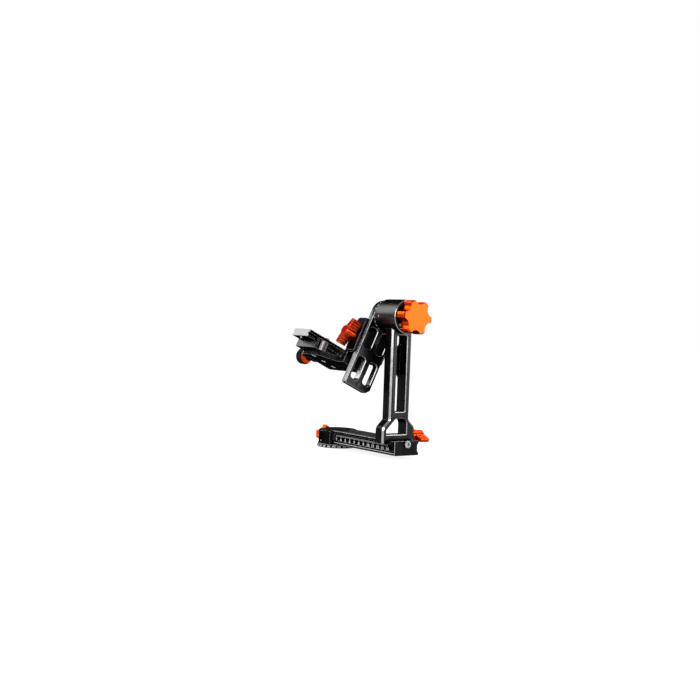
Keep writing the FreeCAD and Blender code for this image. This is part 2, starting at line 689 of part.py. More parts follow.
def upright():
    solid = cut(foot_block(), prism(arch_outline(), "x", UP_X0 - 1, UP_X1 + 1), *post_slots())
    solid = bevelled(solid, UP_X1, [arch_outline(), post_recess()])
    solid = cut(solid, rail_channel(LEG_Z - 1), jaw_room())
    drum = rod("x", DRUM_R, DRUM_X0, DRUM_X1, 0, TILT_Z)
    rims = [e for e in drum.Edges if e.BoundBox.XLength < 0.01]
    solid = joined([solid, drum.makeChamfer(0.6, rims)])
    bores = [rod("x", DRUM_BORE_R, DRUM_X0, DRUM_X1, 0, TILT_Z),
             rod("x", BEARING_R + FIT, DRUM_X0, BEARING_X[0] + BEARING_L, 0, TILT_Z),
             rod("x", BEARING_R + FIT, BEARING_X[1], CAP_X0, 0, TILT_Z),
             rod("x", END_CAP_R + FIT, CAP_X0, DRUM_X1, 0, TILT_Z)]
    solid = cut(solid, *bores)
    for u, v in ring_points(3, END_CAP_SCREW_R, END_CAP_SCREW_ANGLE):
        solid = solid.cut(rod("x", CAP_SCREW_R + FIT, CAP_X0 - CAP_SCREW_GRIP - 1, CAP_X0, u, TILT_Z + v))
    far = FOOT_W / 2
    solid = solid.cut(rod("y", FOOT_SCREW_R + RUN, FOOT_SCREW_END - SEAT, far, UP_XM, FOOT_SCREW_Z))
    for x in foot_pin_places():
        solid = solid.cut(rod("y", FOOT_PIN_R + RUN, far - FOOT_PIN_GRIP, far, x, FOOT_SCREW_Z))
    return solid


def foot_pin_places():
    return [UP_XM - FOOT_PIN_SPACE / 2, UP_XM + FOOT_PIN_SPACE / 2]


def foot_jaw():
    solid = foot_block().common(jaw_region())
    solid = solid.cut(rail_channel(LEG_Z - 1))
    far = FOOT_W / 2
    solid = solid.cut(rod("y", FOOT_SCREW_R + LOOSE, 0, far + 1, UP_XM, FOOT_SCREW_Z))
    for x in foot_pin_places():
        solid = solid.cut(rod("y", FOOT_PIN_R + FIT, 0, far - PIN_COVER, x, FOOT_SCREW_Z))
    return solid


def foot_guide_pins():
    far = FOOT_W / 2
    low = far - FOOT_PIN_GRIP + 1
    high = far - PIN_COVER - SEAT
    return Part.makeCompound([rod("y", FOOT_PIN_R, low, high, x, FOOT_SCREW_Z) for x in foot_pin_places()])


# ---------------------------------------------------------------- wing knobs

def top_edges(solid, top):
    return [e for e in solid.Edges if e.BoundBox.ZLength < 0.01 and e.BoundBox.ZMax > top - 0.01]


def wing_knob():
    """A wing knob that stands on z = 0, with its axis on Z and its ribbed wing along X."""
    root = WING_ROOT_T / 2
    tip = WING_TIP_T / 2
    outline = [(0, root), (WING_R, tip, 2), (WING_R, -tip, 2), (0, -root), (-WING_R, -tip, 2),
               (-WING_R, tip, 2)]
    wing = prism(outline, "z", WING_Z, KNOB_L - 0.8)
    hub = rod("z", KNOB_HUB_R, 0, KNOB_L)
    head = joined([hub.makeChamfer(1.0, top_edges(hub, KNOB_L)),
                   wing.makeChamfer(0.7, top_edges(wing, KNOB_L - 0.8))])
    for i in range(WING_RIBS):
        x = WING_R - WING_RIB_END - WING_RIB_PITCH * i
        y = root + (tip - root) * x / WING_R + 0.2
        for sx in (-1, 1):
            for sy in (-1, 1):
                head = head.cut(rod("z", WING_RIB_R, 0, KNOB_L + 1, sx * x, sy * y))
    return head


def bored_knob(screw_r):
    return wing_knob().cut(rod("z", screw_r + FIT, 0, KNOB_L - KNOB_WALL))


FOOT_KNOB_Y = FOOT_W / 2 + GAP
FOOT_KNOB_TURN = 15.0


def foot_knob():
    knob = bored_knob(FOOT_SCREW_R)
    turn = Rotation(Vector(1, 0, 0), -90).multiply(Rotation(Vector(0, 0, 1), FOOT_KNOB_TURN))
    knob.Placement = Placement(Vector(UP_XM, FOOT_KNOB_Y, FOOT_SCREW_Z), turn)
    return knob


def foot_screw():
    end = FOOT_KNOB_Y + KNOB_L - KNOB_WALL - SEAT
    return rod("y", FOOT_SCREW_R, FOOT_SCREW_END, end, UP_XM, FOOT_SCREW_Z)


# ---------------------------------------------------------------- tilt bearing and lock

BALL_R = (BEARING_R - AXLE_R) / 2 - BEARING_RACE + 0.6
BALL_TRACK_R = (BEARING_R + AXLE_R) / 2


def bearing_ring(x0, inner, outer):
    x1 = x0 + BEARING_L
    ring = cut(rod("x", outer, x0, x1, 0, TILT_Z), rod("x", inner, x0, x1, 0, TILT_Z))
    middle = Vector(x0 + BEARING_L / 2, 0, TILT_Z)
    return ring.cut(Part.makeTorus(BALL_TRACK_R, BALL_R + RUN, middle, Vector(1, 0, 0)))


def outer_races():
    return Part.makeCompound([bearing_ring(x, BEARING_R - BEARING_RACE, BEARING_R) for x in BEARING_X])


def inner_races():
    return Part.makeCompound([bearing_ring(x, AXLE_R + FIT, AXLE_R + BEARING_RACE) for x in BEARING_X])


def bearing_balls():
    balls = []
    for x in BEARING_X:
        for u, v in ring_points(BEARING_BALLS, BALL_TRACK_R):
            balls.append(Part.makeSphere(BALL_R, Vector(x + BEARING_L / 2, u, TILT_Z + v)))
    return Part.makeCompound(balls)


def tilt_axle():
    """Drawn upright, so that it can be turned with the swinging pieces."""
    flange_x = DRUM_X0 - 2 * GAP
    axle = turned("x", [(PLATE_X0 + 1, 0), (PLATE_X0 + 1, AXLE_R), (PLATE_X1, AXLE_R),
                        (PLATE_X1, AXLE_FLANGE_R), (flange_x, AXLE_FLANGE_R), (flange_x, AXLE_R + 1.2),
                        (BEARING_X[0] - SEAT, AXLE_R + 1.2), (BEARING_X[0] - SEAT, AXLE_R),
                        (AXLE_END, AXLE_R), (AXLE_END, 0)])
    for u, v in ring_points(4, AXLE_SCREW_PCR, 45):
        axle = axle.cut(rod("x", M3_R + FIT, PLATE_X1, flange_x, u, v))
    return axle


def bearing_spacer():
    low = BEARING_X[0] + BEARING_L + SEAT
    high = BEARING_X[1] - SEAT
    return cut(rod("x", AXLE_R + BEARING_RACE, low, high), rod("x", AXLE_R + FIT, low, high))


def axle_nut():
    low = BEARING_X[1] + BEARING_L + SEAT
    nut = cut(rod("x", AXLE_NUT_R, low, low + AXLE_NUT_T), rod("x", AXLE_R + FIT, low, low + AXLE_NUT_T))
    for u, v in ring_points(4, AXLE_NUT_R):
        nut = nut.cut(box(low, low + AXLE_NUT_T, u - 1.2, u + 1.2, v - 1.2, v + 1.2))
    return nut


def tilt_end_cap():
    cap = rod("x", END_CAP_R, CAP_X0, CAP_X1, 0, TILT_Z)
    cap = cap.cut(rod("x", TILT_SCREW_R + RUN, CAP_X0, CAP_X1, 0, TILT_Z))
    for u, v in ring_points(3, END_CAP_SCREW_R, END_CAP_SCREW_ANGLE):
        cap = cap.cut(rod("x", CAP_SCREW_R + FIT, CAP_X0, CAP_X1, u, TILT_Z + v))
    return cap


def end_cap_screws():
    screws = []
    for u, v in ring_points(3, END_CAP_SCREW_R, END_CAP_SCREW_ANGLE):
        screws.append(screw("x", CAP_SCREW_HEAD_R, CAP_X1, CAP_X1 + CAP_SCREW_HEAD_T,
                            CAP_SCREW_R, CAP_X0 - CAP_SCREW_GRIP, u, TILT_Z + v, socket=1.2))
    return Part.makeCompound(screws)


STAR_X0 = DRUM_X1 + 0.6


def tilt_brake_pad():
    return rod("x", TILT_PAD_R, AXLE_END + GAP, AXLE_END + GAP + TILT_PAD_L, 0, TILT_Z)


def tilt_lock_screw():
    return rod("x", TILT_SCREW_R, AXLE_END + GAP + TILT_PAD_L, STAR_X0 + STAR_L - 6, 0, TILT_Z)


def tilt_star_knob():
    x1 = STAR_X0 + STAR_L
    neck_x = STAR_X0 + STAR_NECK_L - 1.4
    outline = lobed_outline(STAR_LOBES, STAR_R, STAR_R * 0.965, STAR_VALLEY_R, STAR_TIP, STAR_ANGLE)
    star = Part.Face(outline).extrude(Vector(x1 - neck_x, 0, 0))
    star.translate(Vector(neck_x, 0, TILT_Z))
    form = turned("x", [(neck_x, 0), (neck_x, STAR_R - 1.2), (neck_x + 1.2, STAR_R + 0.4),
                        (x1 - STAR_BEVEL * 0.8, STAR_R + 0.1), (x1, STAR_R - STAR_BEVEL),
                        (x1, 0)], 0, TILT_Z)
    star = star.common(form)
    knob = joined([star, rod("x", STAR_NECK_R, CAP_X1 + GAP, neck_x, 0, TILT_Z)])
    return knob.cut(rod("x", TILT_SCREW_R + FIT, CAP_X1, x1 - 5.5, 0, TILT_Z))


# ---------------------------------------------------------------- swing plate

def plate_groove(side, low, high):
    edge = side * PLATE_W / 2
    x0 = PLATE_X0 + GROOVE_LAND
    deep = side * (PLATE_W / 2 - GROOVE)
    over = side * (PLATE_W / 2 + 1)
    corners = [(x0 - 1, over), (x0, edge), (x0 + GROOVE, deep), (x0 + 2 * GROOVE, edge),
               (x0 + 2 * GROOVE + 1, over)]
    return prism(corners, "z", low, high)


def window_outlines():
    outlines = []
    for side in (-1, 1):
        near = side * WINDOW_Y - WINDOW_W / 2
        far = near + WINDOW_W
        for low, high in (LOW_WINDOW, HIGH_WINDOW):
            outlines.append([(y, z, WINDOW_CORNER) for y, z in
                             ((near, low), (far, low), (far, high), (near, high))])
    return outlines


def swing_plate():
    half = PLATE_W / 2
    bottom = -PLATE_DROP
    corners = [(-half, bottom, 1.5), (half - PLATE_CORNER, bottom, 1.0), (half, bottom + PLATE_CORNER, 1.0),
               (half, half, half * 0.999), (-half, half, half * 0.999)]
    plate = prism(corners, "x", PLATE_X0, PLATE_X1)
    rims = []
    for edge in plate.Edges:
        if edge.BoundBox.XLength < 0.01:
            rims.append(edge)
    plate = plate.makeChamfer(0.5, rims)
    plate = cut(plate, *[prism(outline, "x", PLATE_X0, PLATE_X1) for outline in window_outlines()])
    plate = bevelled(plate, PLATE_X1, window_outlines())
    plate = cut(plate, plate_groove(-1, bottom, -1), plate_groove(1, bottom, -1),
                rod("x", AXLE_R + FIT, PLATE_X0, PLATE_X1))
    for u, v in ring_points(4, AXLE_SCREW_PCR, 45):
        plate = plate.cut(rod("x", M3_R + FIT, PLATE_X0, PLATE_X1, u, v))
        plate = plate.cut(rod("x", AXLE_HEAD_R + FIT, PLATE_X0, PLATE_X0 + AXLE_HEAD_T + HEAD_SUNK, u, v))
    return plate.cut(rod("x", PLATE_STOP_R + FIT, PLATE_X0, PLATE_X1, 0, PLATE_STOP_Z))


def axle_screws():
    low = PLATE_X0 + HEAD_SUNK
    end = DRUM_X0 - 2 * GAP
    screws = []
    for u, v in ring_points(4, AXLE_SCREW_PCR, 45):
        screws.append(screw("x", AXLE_HEAD_R, low, low + AXLE_HEAD_T, M3_R, end, u, v, 1.3))
    return Part.makeCompound(screws)


def degree_ring():
    x1 = DRUM_X0 - GAP
    ring = turned("x", [(PLATE_X1, RING_BORE_R), (PLATE_X1, RING_R), (x1 - 0.8, RING_R),
                        (x1, RING_R - 0.8), (x1, RING_BORE_R)])
    return ring


def plate_stop_screw():
    return screw("x", 2.4, PLATE_X1, PLATE_X1 + 0.9, PLATE_STOP_R, PLATE_X0 - 2.0, 0, PLATE_STOP_Z, 1.0)


# ---------------------------------------------------------------- cradle

def lip_section(side, root):
    """Section of a clamp lip that hooks into the plate's edge groove, in X and Y."""
    inside = PLATE_W / 2 + GAP
    tip = PLATE_W / 2 - GROOVE + GAP * math.sqrt(2)
    x = PLATE_X0 + GROOVE_LAND + GROOVE
    reach = inside - tip
    outside = inside + CLAMP_LIP_T
    corners = [(CLAMP_X0, root), (CLAMP_X0, outside), (x + reach, outside), (x + reach, inside),
               (x, tip), (x - reach, inside), (CLAMP_X1, inside), (CLAMP_X1, root)]
    return [(a, side * b) for a, b in corners]


def height_clamp():
    top = CLAMP_TOP
    solid = prism(lip_section(1, 1 - PLATE_W / 2), "z", CLAMP_Z0, top)
    outside = PLATE_W / 2 + GAP + CLAMP_LIP_T
    shape = prism([(-PLATE_W / 2, CLAMP_Z0, 2), (outside, CLAMP_Z0, 4), (outside, top, 6),
                   (-PLATE_W / 2, top, 2)], "x", CLAMP_X0, PLATE_X1)
    solid = solid.common(shape)
    low = -PLATE_W / 2
    high = low + HEIGHT_SCREW_GRIP + 1
    solid = solid.cut(rod("y", LOCK_SCREW_R + RUN, low, high, CLAMP_XM, HEIGHT_KNOB_Z))
    for z in height_pin_places():
        solid = solid.cut(rod("y", GUIDE_PIN_R + RUN, low, low + HEIGHT_PIN_GRIP + 1, CLAMP_XM, z))
    for u, v in bracket_screw_places():
        solid = solid.cut(rod("x", M4_R + FIT, CLAMP_X0, CLAMP_X0 + M4_GRIP + SEAT, u, v))
    return solid


def height_pin_places():
    return [HEIGHT_KNOB_Z - HEIGHT_PIN_SPACE / 2, HEIGHT_KNOB_Z + HEIGHT_PIN_SPACE / 2]


def height_jaw():
    solid = prism(lip_section(-1, PLATE_W / 2 + GAP), "z", CLAMP_Z0 + 1, CLAMP_TOP - 1)
    outside = PLATE_W / 2 + GAP + CLAMP_LIP_T
    shape = prism([(CLAMP_X0, CLAMP_Z0 + 1, 5), (PLATE_X1, CLAMP_Z0 + 1, 1), (PLATE_X1, CLAMP_TOP - 1, 1),
                   (CLAMP_X0, CLAMP_TOP - 1, 5)], "y", -outside, 0)
    solid = solid.common(shape)
    solid = solid.cut(rod("y", LOCK_SCREW_R + LOOSE, -outside, 0, CLAMP_XM, HEIGHT_KNOB_Z))
    for z in height_pin_places():
        solid = solid.cut(rod("y", GUIDE_PIN_R + FIT, PIN_COVER - outside, 0, CLAMP_XM, z))
    return solid


def height_guide_pins():
    outside = PLATE_W / 2 + GAP + CLAMP_LIP_T
    low = PIN_COVER + SEAT - outside
    high = HEIGHT_PIN_GRIP - PLATE_W / 2
    pins = [rod("y", GUIDE_PIN_R, low, high, CLAMP_XM, z) for z in height_pin_places()]
    return Part.makeCompound(pins)


HEIGHT_KNOB_Y = -(PLATE_W / 2 + 2 * GAP + CLAMP_LIP_T)


def height_knob():
    knob = bored_knob(LOCK_SCREW_R)
    turn = Rotation(Vector(1, 0, 0), 90).multiply(Rotation(Vector(0, 0, 1), HEIGHT_KNOB_TURN))
    knob.Placement = Placement(Vector(CLAMP_XM, HEIGHT_KNOB_Y, HEIGHT_KNOB_Z), turn)
    return knob


def height_screw():
    high = HEIGHT_SCREW_GRIP - PLATE_W / 2
    low = HEIGHT_KNOB_Y - KNOB_L + KNOB_WALL + SEAT
    return rod("y", LOCK_SCREW_R, low, high, CLAMP_XM, HEIGHT_KNOB_Z)


def bracket_screw_places():
    low = CLAMP_Z0 + BRACKET_SCREW_INSET
    high = CLAMP_TOP - BRACKET_SCREW_INSET
    return [(side * BRACKET_SCREW_Y, z) for z in (low, high) for side in (-1, 1)]


def cradle_bracket():
    back = CLAMP_X0 - CRADLE_T
    half = CRADLE_LEG_W / 2
    leg = prism([(-half, SHELF_Z, 3), (half, SHELF_Z, 3), (half, CLAMP_TOP, 8), (-half, CLAMP_TOP, 8)],
                "x", back, CLAMP_X0)
    plan = [(QR_X0, SHELF_Y0, 3), (QR_X1, SHELF_Y0, 10), (back - 8, -half, 14), (CLAMP_X0, -half),
            (CLAMP_X0, half), (back - 3, half, 5), (back - 12, SHELF_Y1, 8), (QR_X0, SHELF_Y1, 3)]
    shelf = prism(plan, "z", SHELF_Z, SHELF_TOP)
    gusset = prism([(back - 10, SHELF_TOP), (back, SHELF_TOP), (back, SHELF_TOP + 14)],
                   "y", 4 - half, half - 4)
    solid = joined([leg, shelf, gusset])
    for u, v in bracket_screw_places():
        solid = solid.cut(rod("x", M4_R + FIT, back, CLAMP_X0, u, v))
        solid = solid.cut(rod("x", M4_HEAD_R + FIT, back, back + M4_HEAD_T + HEAD_SUNK, u, v))
    solid = solid.cut(rod("x", QR_SCREW_R + RUN, QR_X0, QR_X0 + QR_SCREW_GRIP + 1, QR_SCREW_Y, QR_SCREW_Z))
    for y in qr_pin_places():
        solid = solid.cut(rod("x", GUIDE_PIN_R + RUN, QR_X0, QR_X0 + QR_PIN_GRIP + 1, y, QR_SCREW_Z))
    for y in CLAMP_SCREW_PLACES:
        solid = solid.cut(rod("z", CLAMP_SCREW_R + FIT, SHELF_Z, SHELF_TOP, CLAMP_SCREW_X, y))
        head = rod("z", CLAMP_SCREW_HEAD_R + FIT, SHELF_Z, SHELF_Z + CLAMP_SCREW_HEAD_T, CLAMP_SCREW_X, y)
        solid = solid.cut(head)
    return solid


def bracket_screws():
    low = CLAMP_X0 - CRADLE_T + HEAD_SUNK
    screws = []
    for u, v in bracket_screw_places():
        screws.append(screw("x", M4_HEAD_R, low, low + M4_HEAD_T, M4_R, CLAMP_X0 + M4_GRIP, u, v, 1.7))
    return Part.makeCompound(screws)


# ---------------------------------------------------------------- quick release clamp

def qr_pin_places():
    return [QR_SCREW_Y - QR_PIN_SPACE / 2, QR_SCREW_Y + QR_PIN_SPACE / 2]


def dovetail_wall(inward):
    """Corners of a clamp's dovetail wall, from its floor up; inward is +1 or -1 along X."""
    edge = LENS_XM - inward * (DOVE_W / 2 + GAP)
    bend = GAP * math.tan(math.radians(22.5))
    low = LENS_Z + DOVE_FLANGE + bend
    tip = edge + inward * DOVE_IN
    return [(edge, QR_FLOOR), (edge, low), (tip, low + DOVE_IN), (tip, QR_TOP)]


def qr_clamp_body():
    wall = dovetail_wall(-1)
    corners = [(QR_X0, SHELF_TOP), (QR_X1, SHELF_TOP), (QR_X1, QR_TOP), *reversed(wall), (QR_X0, QR_FLOOR)]
    solid = prism(corners, "y", QR_Y0, QR_Y1)
    corner = [(QR_X1 - QR_CORNER, QR_Y0), (QR_X1, QR_Y0), (QR_X1, QR_Y0 + QR_CORNER)]
    solid = solid.cut(prism(corner, "z", SHELF_TOP, QR_TOP))
    boss = rod("z", QR_BOSS_R, SHELF_TOP, QR_TOP - 1.5, QR_X1 - 2, QR_BOSS_Y)
    boss = boss.common(box(QR_X1 - 1, QR_X1 + 9, QR_Y0, QR_Y1, SHELF_TOP, QR_TOP))
    solid = joined([solid, boss])
    for z in (SHELF_TOP + 3, SHELF_TOP + 8):
        solid = solid.cut(box(QR_X1 - 0.9, QR_X1 + 1, QR_BOSS_Y + 9, QR_Y1 + 1, z, z + 2))
    hole_top = SHELF_TOP + CLAMP_SCREW_GRIP + SEAT
    for y in CLAMP_SCREW_PLACES:
        solid = solid.cut(rod("z", CLAMP_SCREW_R + FIT, SHELF_TOP, hole_top, CLAMP_SCREW_X, y))
    return solid


def clamp_screws():
    screws = []
    for y in CLAMP_SCREW_PLACES:
        end = SHELF_TOP + CLAMP_SCREW_GRIP
        screws.append(screw("z", CLAMP_SCREW_HEAD_R, SHELF_Z + HEAD_SUNK, SHELF_Z + CLAMP_SCREW_HEAD_T,
                            CLAMP_SCREW_R, end, CLAMP_SCREW_X, y, 1.5))
    return Part.makeCompound(screws)


QR_JAW_X0 = LENS_XM - DOVE_W / 2 - QR_JAW_T


def qr_jaw():
    inner = QR_X0 - GAP
    corners = [*dovetail_wall(1), (QR_JAW_X0, QR_TOP), (QR_JAW_X0, SHELF_TOP), (inner, SHELF_TOP),
               (inner, QR_FLOOR)]
    solid = prism(corners, "y", QR_Y0, QR_Y1)
    half = QR_JAW_TONGUE / 2
    tongue = prism([(QR_SCREW_Y - half, SHELF_Z, 3), (QR_SCREW_Y + half, SHELF_Z, 3),
                    (QR_SCREW_Y + half, SHELF_TOP), (QR_SCREW_Y - half, SHELF_TOP)], "x", QR_JAW_X0, inner)
    solid = joined([solid, tongue])
    solid = solid.cut(rod("x", QR_SCREW_R + LOOSE, QR_JAW_X0, inner, QR_SCREW_Y, QR_SCREW_Z))
    for y in qr_pin_places():
        solid = solid.cut(rod("x", GUIDE_PIN_R + FIT, QR_JAW_X0 + PIN_COVER, inner, y, QR_SCREW_Z))
    return solid


def qr_guide_pins():
    low = QR_JAW_X0 + PIN_COVER + SEAT
    high = QR_X0 + QR_PIN_GRIP
    return Part.makeCompound([rod("x", GUIDE_PIN_R, low, high, y, QR_SCREW_Z) for y in qr_pin_places()])


QR_NECK_X1 = QR_JAW_X0 - GAP
QR_COLLAR_X1 = QR_NECK_X1 - QR_NECK_L
QR_CAP_X1 = QR_COLLAR_X1 - QR_COLLAR_T
QR_CAP_X0 = QR_CAP_X1 - QR_CAP_L


def qr_knob_collar():
    """The coloured hub between the jaw and the cap, flared toward the cap."""
    middle = (QR_NECK_X1 + QR_COLLAR_X1) / 2
    waist = QR_NECK_R + (QR_COLLAR_R - QR_NECK_R) / 4
    return turned("x", [(QR_NECK_X1, QR_SPIGOT_R + FIT), (QR_NECK_X1, QR_NECK_R), (middle, waist),
                        (QR_COLLAR_X1, QR_COLLAR_R), (QR_CAP_X1, QR_COLLAR_R),
                        (QR_CAP_X1, QR_SPIGOT_R + FIT)], QR_SCREW_Y, QR_SCREW_Z)


def qr_knob_cap():
    cap = turned("x", [(QR_CAP_X0, 0), (QR_CAP_X0, QR_CAP_R - 1.5), (QR_CAP_X0 + 1.5, QR_CAP_R),
                       (QR_CAP_X1 - 0.8, QR_CAP_R), (QR_CAP_X1, QR_CAP_R - 0.8), (QR_CAP_X1, QR_SPIGOT_R),
                       (QR_NECK_X1, QR_SPIGOT_R), (QR_NECK_X1, 0)], QR_SCREW_Y, QR_SCREW_Z)
    for u, v in ring_points(20, QR_CAP_R + 0.25):
        cap = cap.cut(rod("x", RIB_R, QR_CAP_X0 - 1, QR_CAP_X1 + 1, QR_SCREW_Y + u, QR_SCREW_Z + v))
    return cap.cut(rod("x", QR_SCREW_R + FIT, QR_CAP_X0 + KNOB_WALL, QR_NECK_X1, QR_SCREW_Y, QR_SCREW_Z))


def qr_screw():
    low = QR_CAP_X0 + KNOB_WALL + SEAT
    return rod("x", QR_SCREW_R, low, QR_X0 + QR_SCREW_GRIP, QR_SCREW_Y, QR_SCREW_Z)


# ---------------------------------------------------------------- lens plate

def lens_plate():
    half = DOVE_W / 2
    waist = half - DOVE_IN
    z1 = LENS_Z + DOVE_FLANGE
    z2 = z1 + DOVE_IN
    z3 = z2 + LENS_NECK
    side = [(half, LENS_Z), (half, z1), (waist, z2), (waist, z3), (half, z3), (half, LENS_TOP - 0.6),
            (half - 0.6, LENS_TOP)]
    corners = [(LENS_XM + x, z) for x, z in side] + [(LENS_XM - x, z) for x, z in reversed(side)]
    plate = prism(corners, "y", LENS_Y0, LENS_Y1)
    v0 = LENS_YM - LENS_SLOT_L / 2
    v1 = LENS_YM + LENS_SLOT_L / 2
    plate = plate.cut(stadium(LENS_XM, v0, v1, LENS_SLOT_W, "z", LENS_Z, LENS_TOP))
    wide = 2 * (LENS_HEAD_R + GAP + 0.6)
    plate = plate.cut(stadium(LENS_XM, v0 - 4, v1 + 4, wide, "z", LENS_Z, LENS_Z + LENS_SLOT_STEP))
    for y in stop_pin_places():
        plate = plate.cut(rod("z", STOP_PIN_R + FIT, LENS_Z, LENS_Z + 4, LENS_XM, y))
    for low, high in pad_places():
        plate = plate.cut(box(low, high, LENS_Y0 + PAD_END, LENS_Y1 - PAD_END, PAD_TOP - PAD_T, LENS_TOP))
    return plate


def stop_pin_places():
    return [LENS_Y0 + STOP_PIN_IN, LENS_Y1 - STOP_PIN_IN]


def pad_places():
    inner = LENS_SLOT_W / 2 + 2.5
    outer = DOVE_W / 2 - 2.5
    return [(LENS_XM - outer, LENS_XM - inner), (LENS_XM + inner, LENS_XM + outer)]


def lens_plate_pads():
    y0 = LENS_Y0 + PAD_END + FIT
    y1 = LENS_Y1 - PAD_END - FIT
    pads = []
    for low, high in pad_places():
        pad = box(low + FIT, high - FIT, y0, y1, PAD_TOP - PAD_T, PAD_TOP)
        y = y0 + 4
        while y < y1 - 3:
            pad = pad.cut(box(low, high, y, y + 1, PAD_TOP - 0.9, PAD_TOP))
            y += 4
        pads.append(pad)
    return Part.makeCompound(pads)


def plate_stop_pins():
    low = LENS_Z - 2.0
    pins = [rod("z", STOP_PIN_R, low, LENS_Z + 3.9, LENS_XM, y) for y in stop_pin_places()]
    return Part.makeCompound(pins)


def lens_screw():
    """The captive lens screw: a thin stem in the slot and the thread above the pads."""
    seat = LENS_Z + LENS_SLOT_STEP - SEAT
    solid = screw("z", LENS_HEAD_R, seat - LENS_HEAD_T, seat, LENS_STEM_R, PAD_TOP, LENS_XM, LENS_YM, 3.0)
    return joined([solid, rod("z", LENS_STUD_R, PAD_TOP, PAD_TOP + LENS_STUD_L, LENS_XM, LENS_YM)])


# ---------------------------------------------------------------- every node

STANDING = [pan_base, thread_bush, pan_spindle, base_screws, pan_bush, pan_washer, pan_nut, base_arm,
            pan_cap, arm_stop_screw, pan_lock_pad, pan_lock_screw, pan_lock_knob, upright, foot_jaw,
            foot_guide_pins, foot_knob, foot_screw, outer_races, inner_races, bearing_balls,
            tilt_end_cap, end_cap_screws, tilt_brake_pad, tilt_lock_screw, tilt_star_knob]
SWINGING = [swing_plate, tilt_axle, bearing_spacer, axle_nut, axle_screws, degree_ring,
            plate_stop_screw, height_clamp, height_jaw, height_guide_pins, height_knob, height_screw,
            cradle_bracket, bracket_screws, qr_clamp_body, clamp_screws, qr_jaw, qr_guide_pins,
            qr_knob_collar, qr_knob_cap, qr_screw, lens_plate, lens_plate_pads, plate_stop_pins,
            lens_screw]


def main():
    os.makedirs("parts", exist_ok=True)
    for make in STANDING:
        make().exportStep(f"parts/{make.__name__}.step")
    for make in SWINGING:
        in_swing(make()).exportStep(f"parts/{make.__name__}.step")


main()
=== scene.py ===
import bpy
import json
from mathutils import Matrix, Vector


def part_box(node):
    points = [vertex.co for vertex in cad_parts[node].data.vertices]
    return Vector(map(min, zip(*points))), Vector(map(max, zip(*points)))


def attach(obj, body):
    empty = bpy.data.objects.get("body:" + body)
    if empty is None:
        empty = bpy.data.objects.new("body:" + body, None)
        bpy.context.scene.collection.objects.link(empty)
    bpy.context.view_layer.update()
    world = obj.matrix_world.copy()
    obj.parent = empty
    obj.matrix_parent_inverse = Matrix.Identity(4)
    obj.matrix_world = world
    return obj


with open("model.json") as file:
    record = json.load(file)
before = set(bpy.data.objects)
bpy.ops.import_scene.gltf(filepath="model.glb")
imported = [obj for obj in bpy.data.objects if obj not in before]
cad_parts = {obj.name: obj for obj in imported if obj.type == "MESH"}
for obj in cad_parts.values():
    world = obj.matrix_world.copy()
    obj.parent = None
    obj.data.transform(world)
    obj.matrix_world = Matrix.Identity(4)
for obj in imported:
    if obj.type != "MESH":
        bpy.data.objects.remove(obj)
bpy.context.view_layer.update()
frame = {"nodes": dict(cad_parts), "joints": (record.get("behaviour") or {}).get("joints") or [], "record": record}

import json
import math

import bpy
from mathutils import Matrix, Vector

MM = 0.001
NODES = frame["nodes"]

# The camera: degrees, metres, and pixels in a frame 700 wide
VIEW_AZIMUTH = 55.0
VIEW_DIP = 1.72
VIEW_ROLL = 2.06
VIEW_PLACE = (1.31936, -0.90853, 0.18157)
FRAME_PIXELS = 700
FOCAL_PIXELS = 1162
SENSOR = 36.0

# Light and surroundings, in metres
AIM = (0.09, 0, 0.12)     # the place on the part that the lamps point at
AWAY = (-0.82, 0.57, 0)   # from the part towards the backdrop
BACKDROP_EDGE = 0.3       # how far towards AWAY a reflection goes where it starts to brighten,
BACKDROP_FULL = 0.9       # and where it is white
DIM_ROOM = 0.3            # how bright a reflection of the rest of the room is
SOFT_LIGHT = 0.5          # strength of the surroundings as a light
FLOOR_GLOW = 0.87         # light of its own that the floor shows to the camera and in reflections
FLOOR_GREY = 0.3          # the floor's colour to all other light
FLOOR_HALF = 6.0
FLOOR_DROP = 0.0004       # how far the floor lies below the part


def box_in_mm(node):
    low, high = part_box(node)
    return low / MM, high / MM


# The swing's directions at rest, and a place on its axis in metres, from the joints
JOINTS = {joint["name"]: joint for joint in frame["joints"]}
ACROSS = tuple(JOINTS["tilt"]["axis"])  # from the lens to the upright
BACKWARD = tuple(JOINTS["lens_plate_slide"]["axis"])
UPWARD = tuple(JOINTS["height_slide"]["axis"])
DOWNWARD = tuple(-Vector(UPWARD))
AXLE = tuple(JOINTS["tilt"]["pos_m"])

# Places on the part, in millimetres, from the joints and the nodes' boxes
ARM_LOW, ARM_HIGH = box_in_mm("base_arm")
PAN_HOUSING_R = -ARM_LOW.x
RAIL_END = ARM_HIGH.x
RAIL_LOW = ARM_LOW.z
RAIL_TOP = ARM_HIGH.z
BASE_R = box_in_mm("pan_base")[1].x
TILT_Z = AXLE[2] / MM
TILT_HOUSING_R = box_in_mm("upright")[1].z - TILT_Z
PLATE_FACE = box_in_mm("swing_plate")[1].x  # towards the tilt housing
RING_R = box_in_mm("degree_ring")[1].y  # the ring starts at the plate's face

# Places inside those boxes
RAIL_START = 18.0         # where the rail has left the pan housing
RAIL_HALF = 19.0
RECESS_LOW = 8.5          # low edge of the recess in the rail's side
RECESS_FLOOR = 17.0       # the recess's floor, out from the rail's middle
PLATE_HALF = 20.4         # half the swing plate's width
BOSS_ON_SWING = (40.5, -33.5, -60)  # the lens clamp's round boss: across, backward and up

# The swing's frame at rest: across from the pan axis, and backward and up from the tilt axis
SWING = Matrix.Translation((0, 0, TILT_Z)) @ Matrix((ACROSS, BACKWARD, UPWARD)).transposed().to_4x4()
BOSS = tuple(SWING @ Vector(BOSS_ON_SWING) * MM)


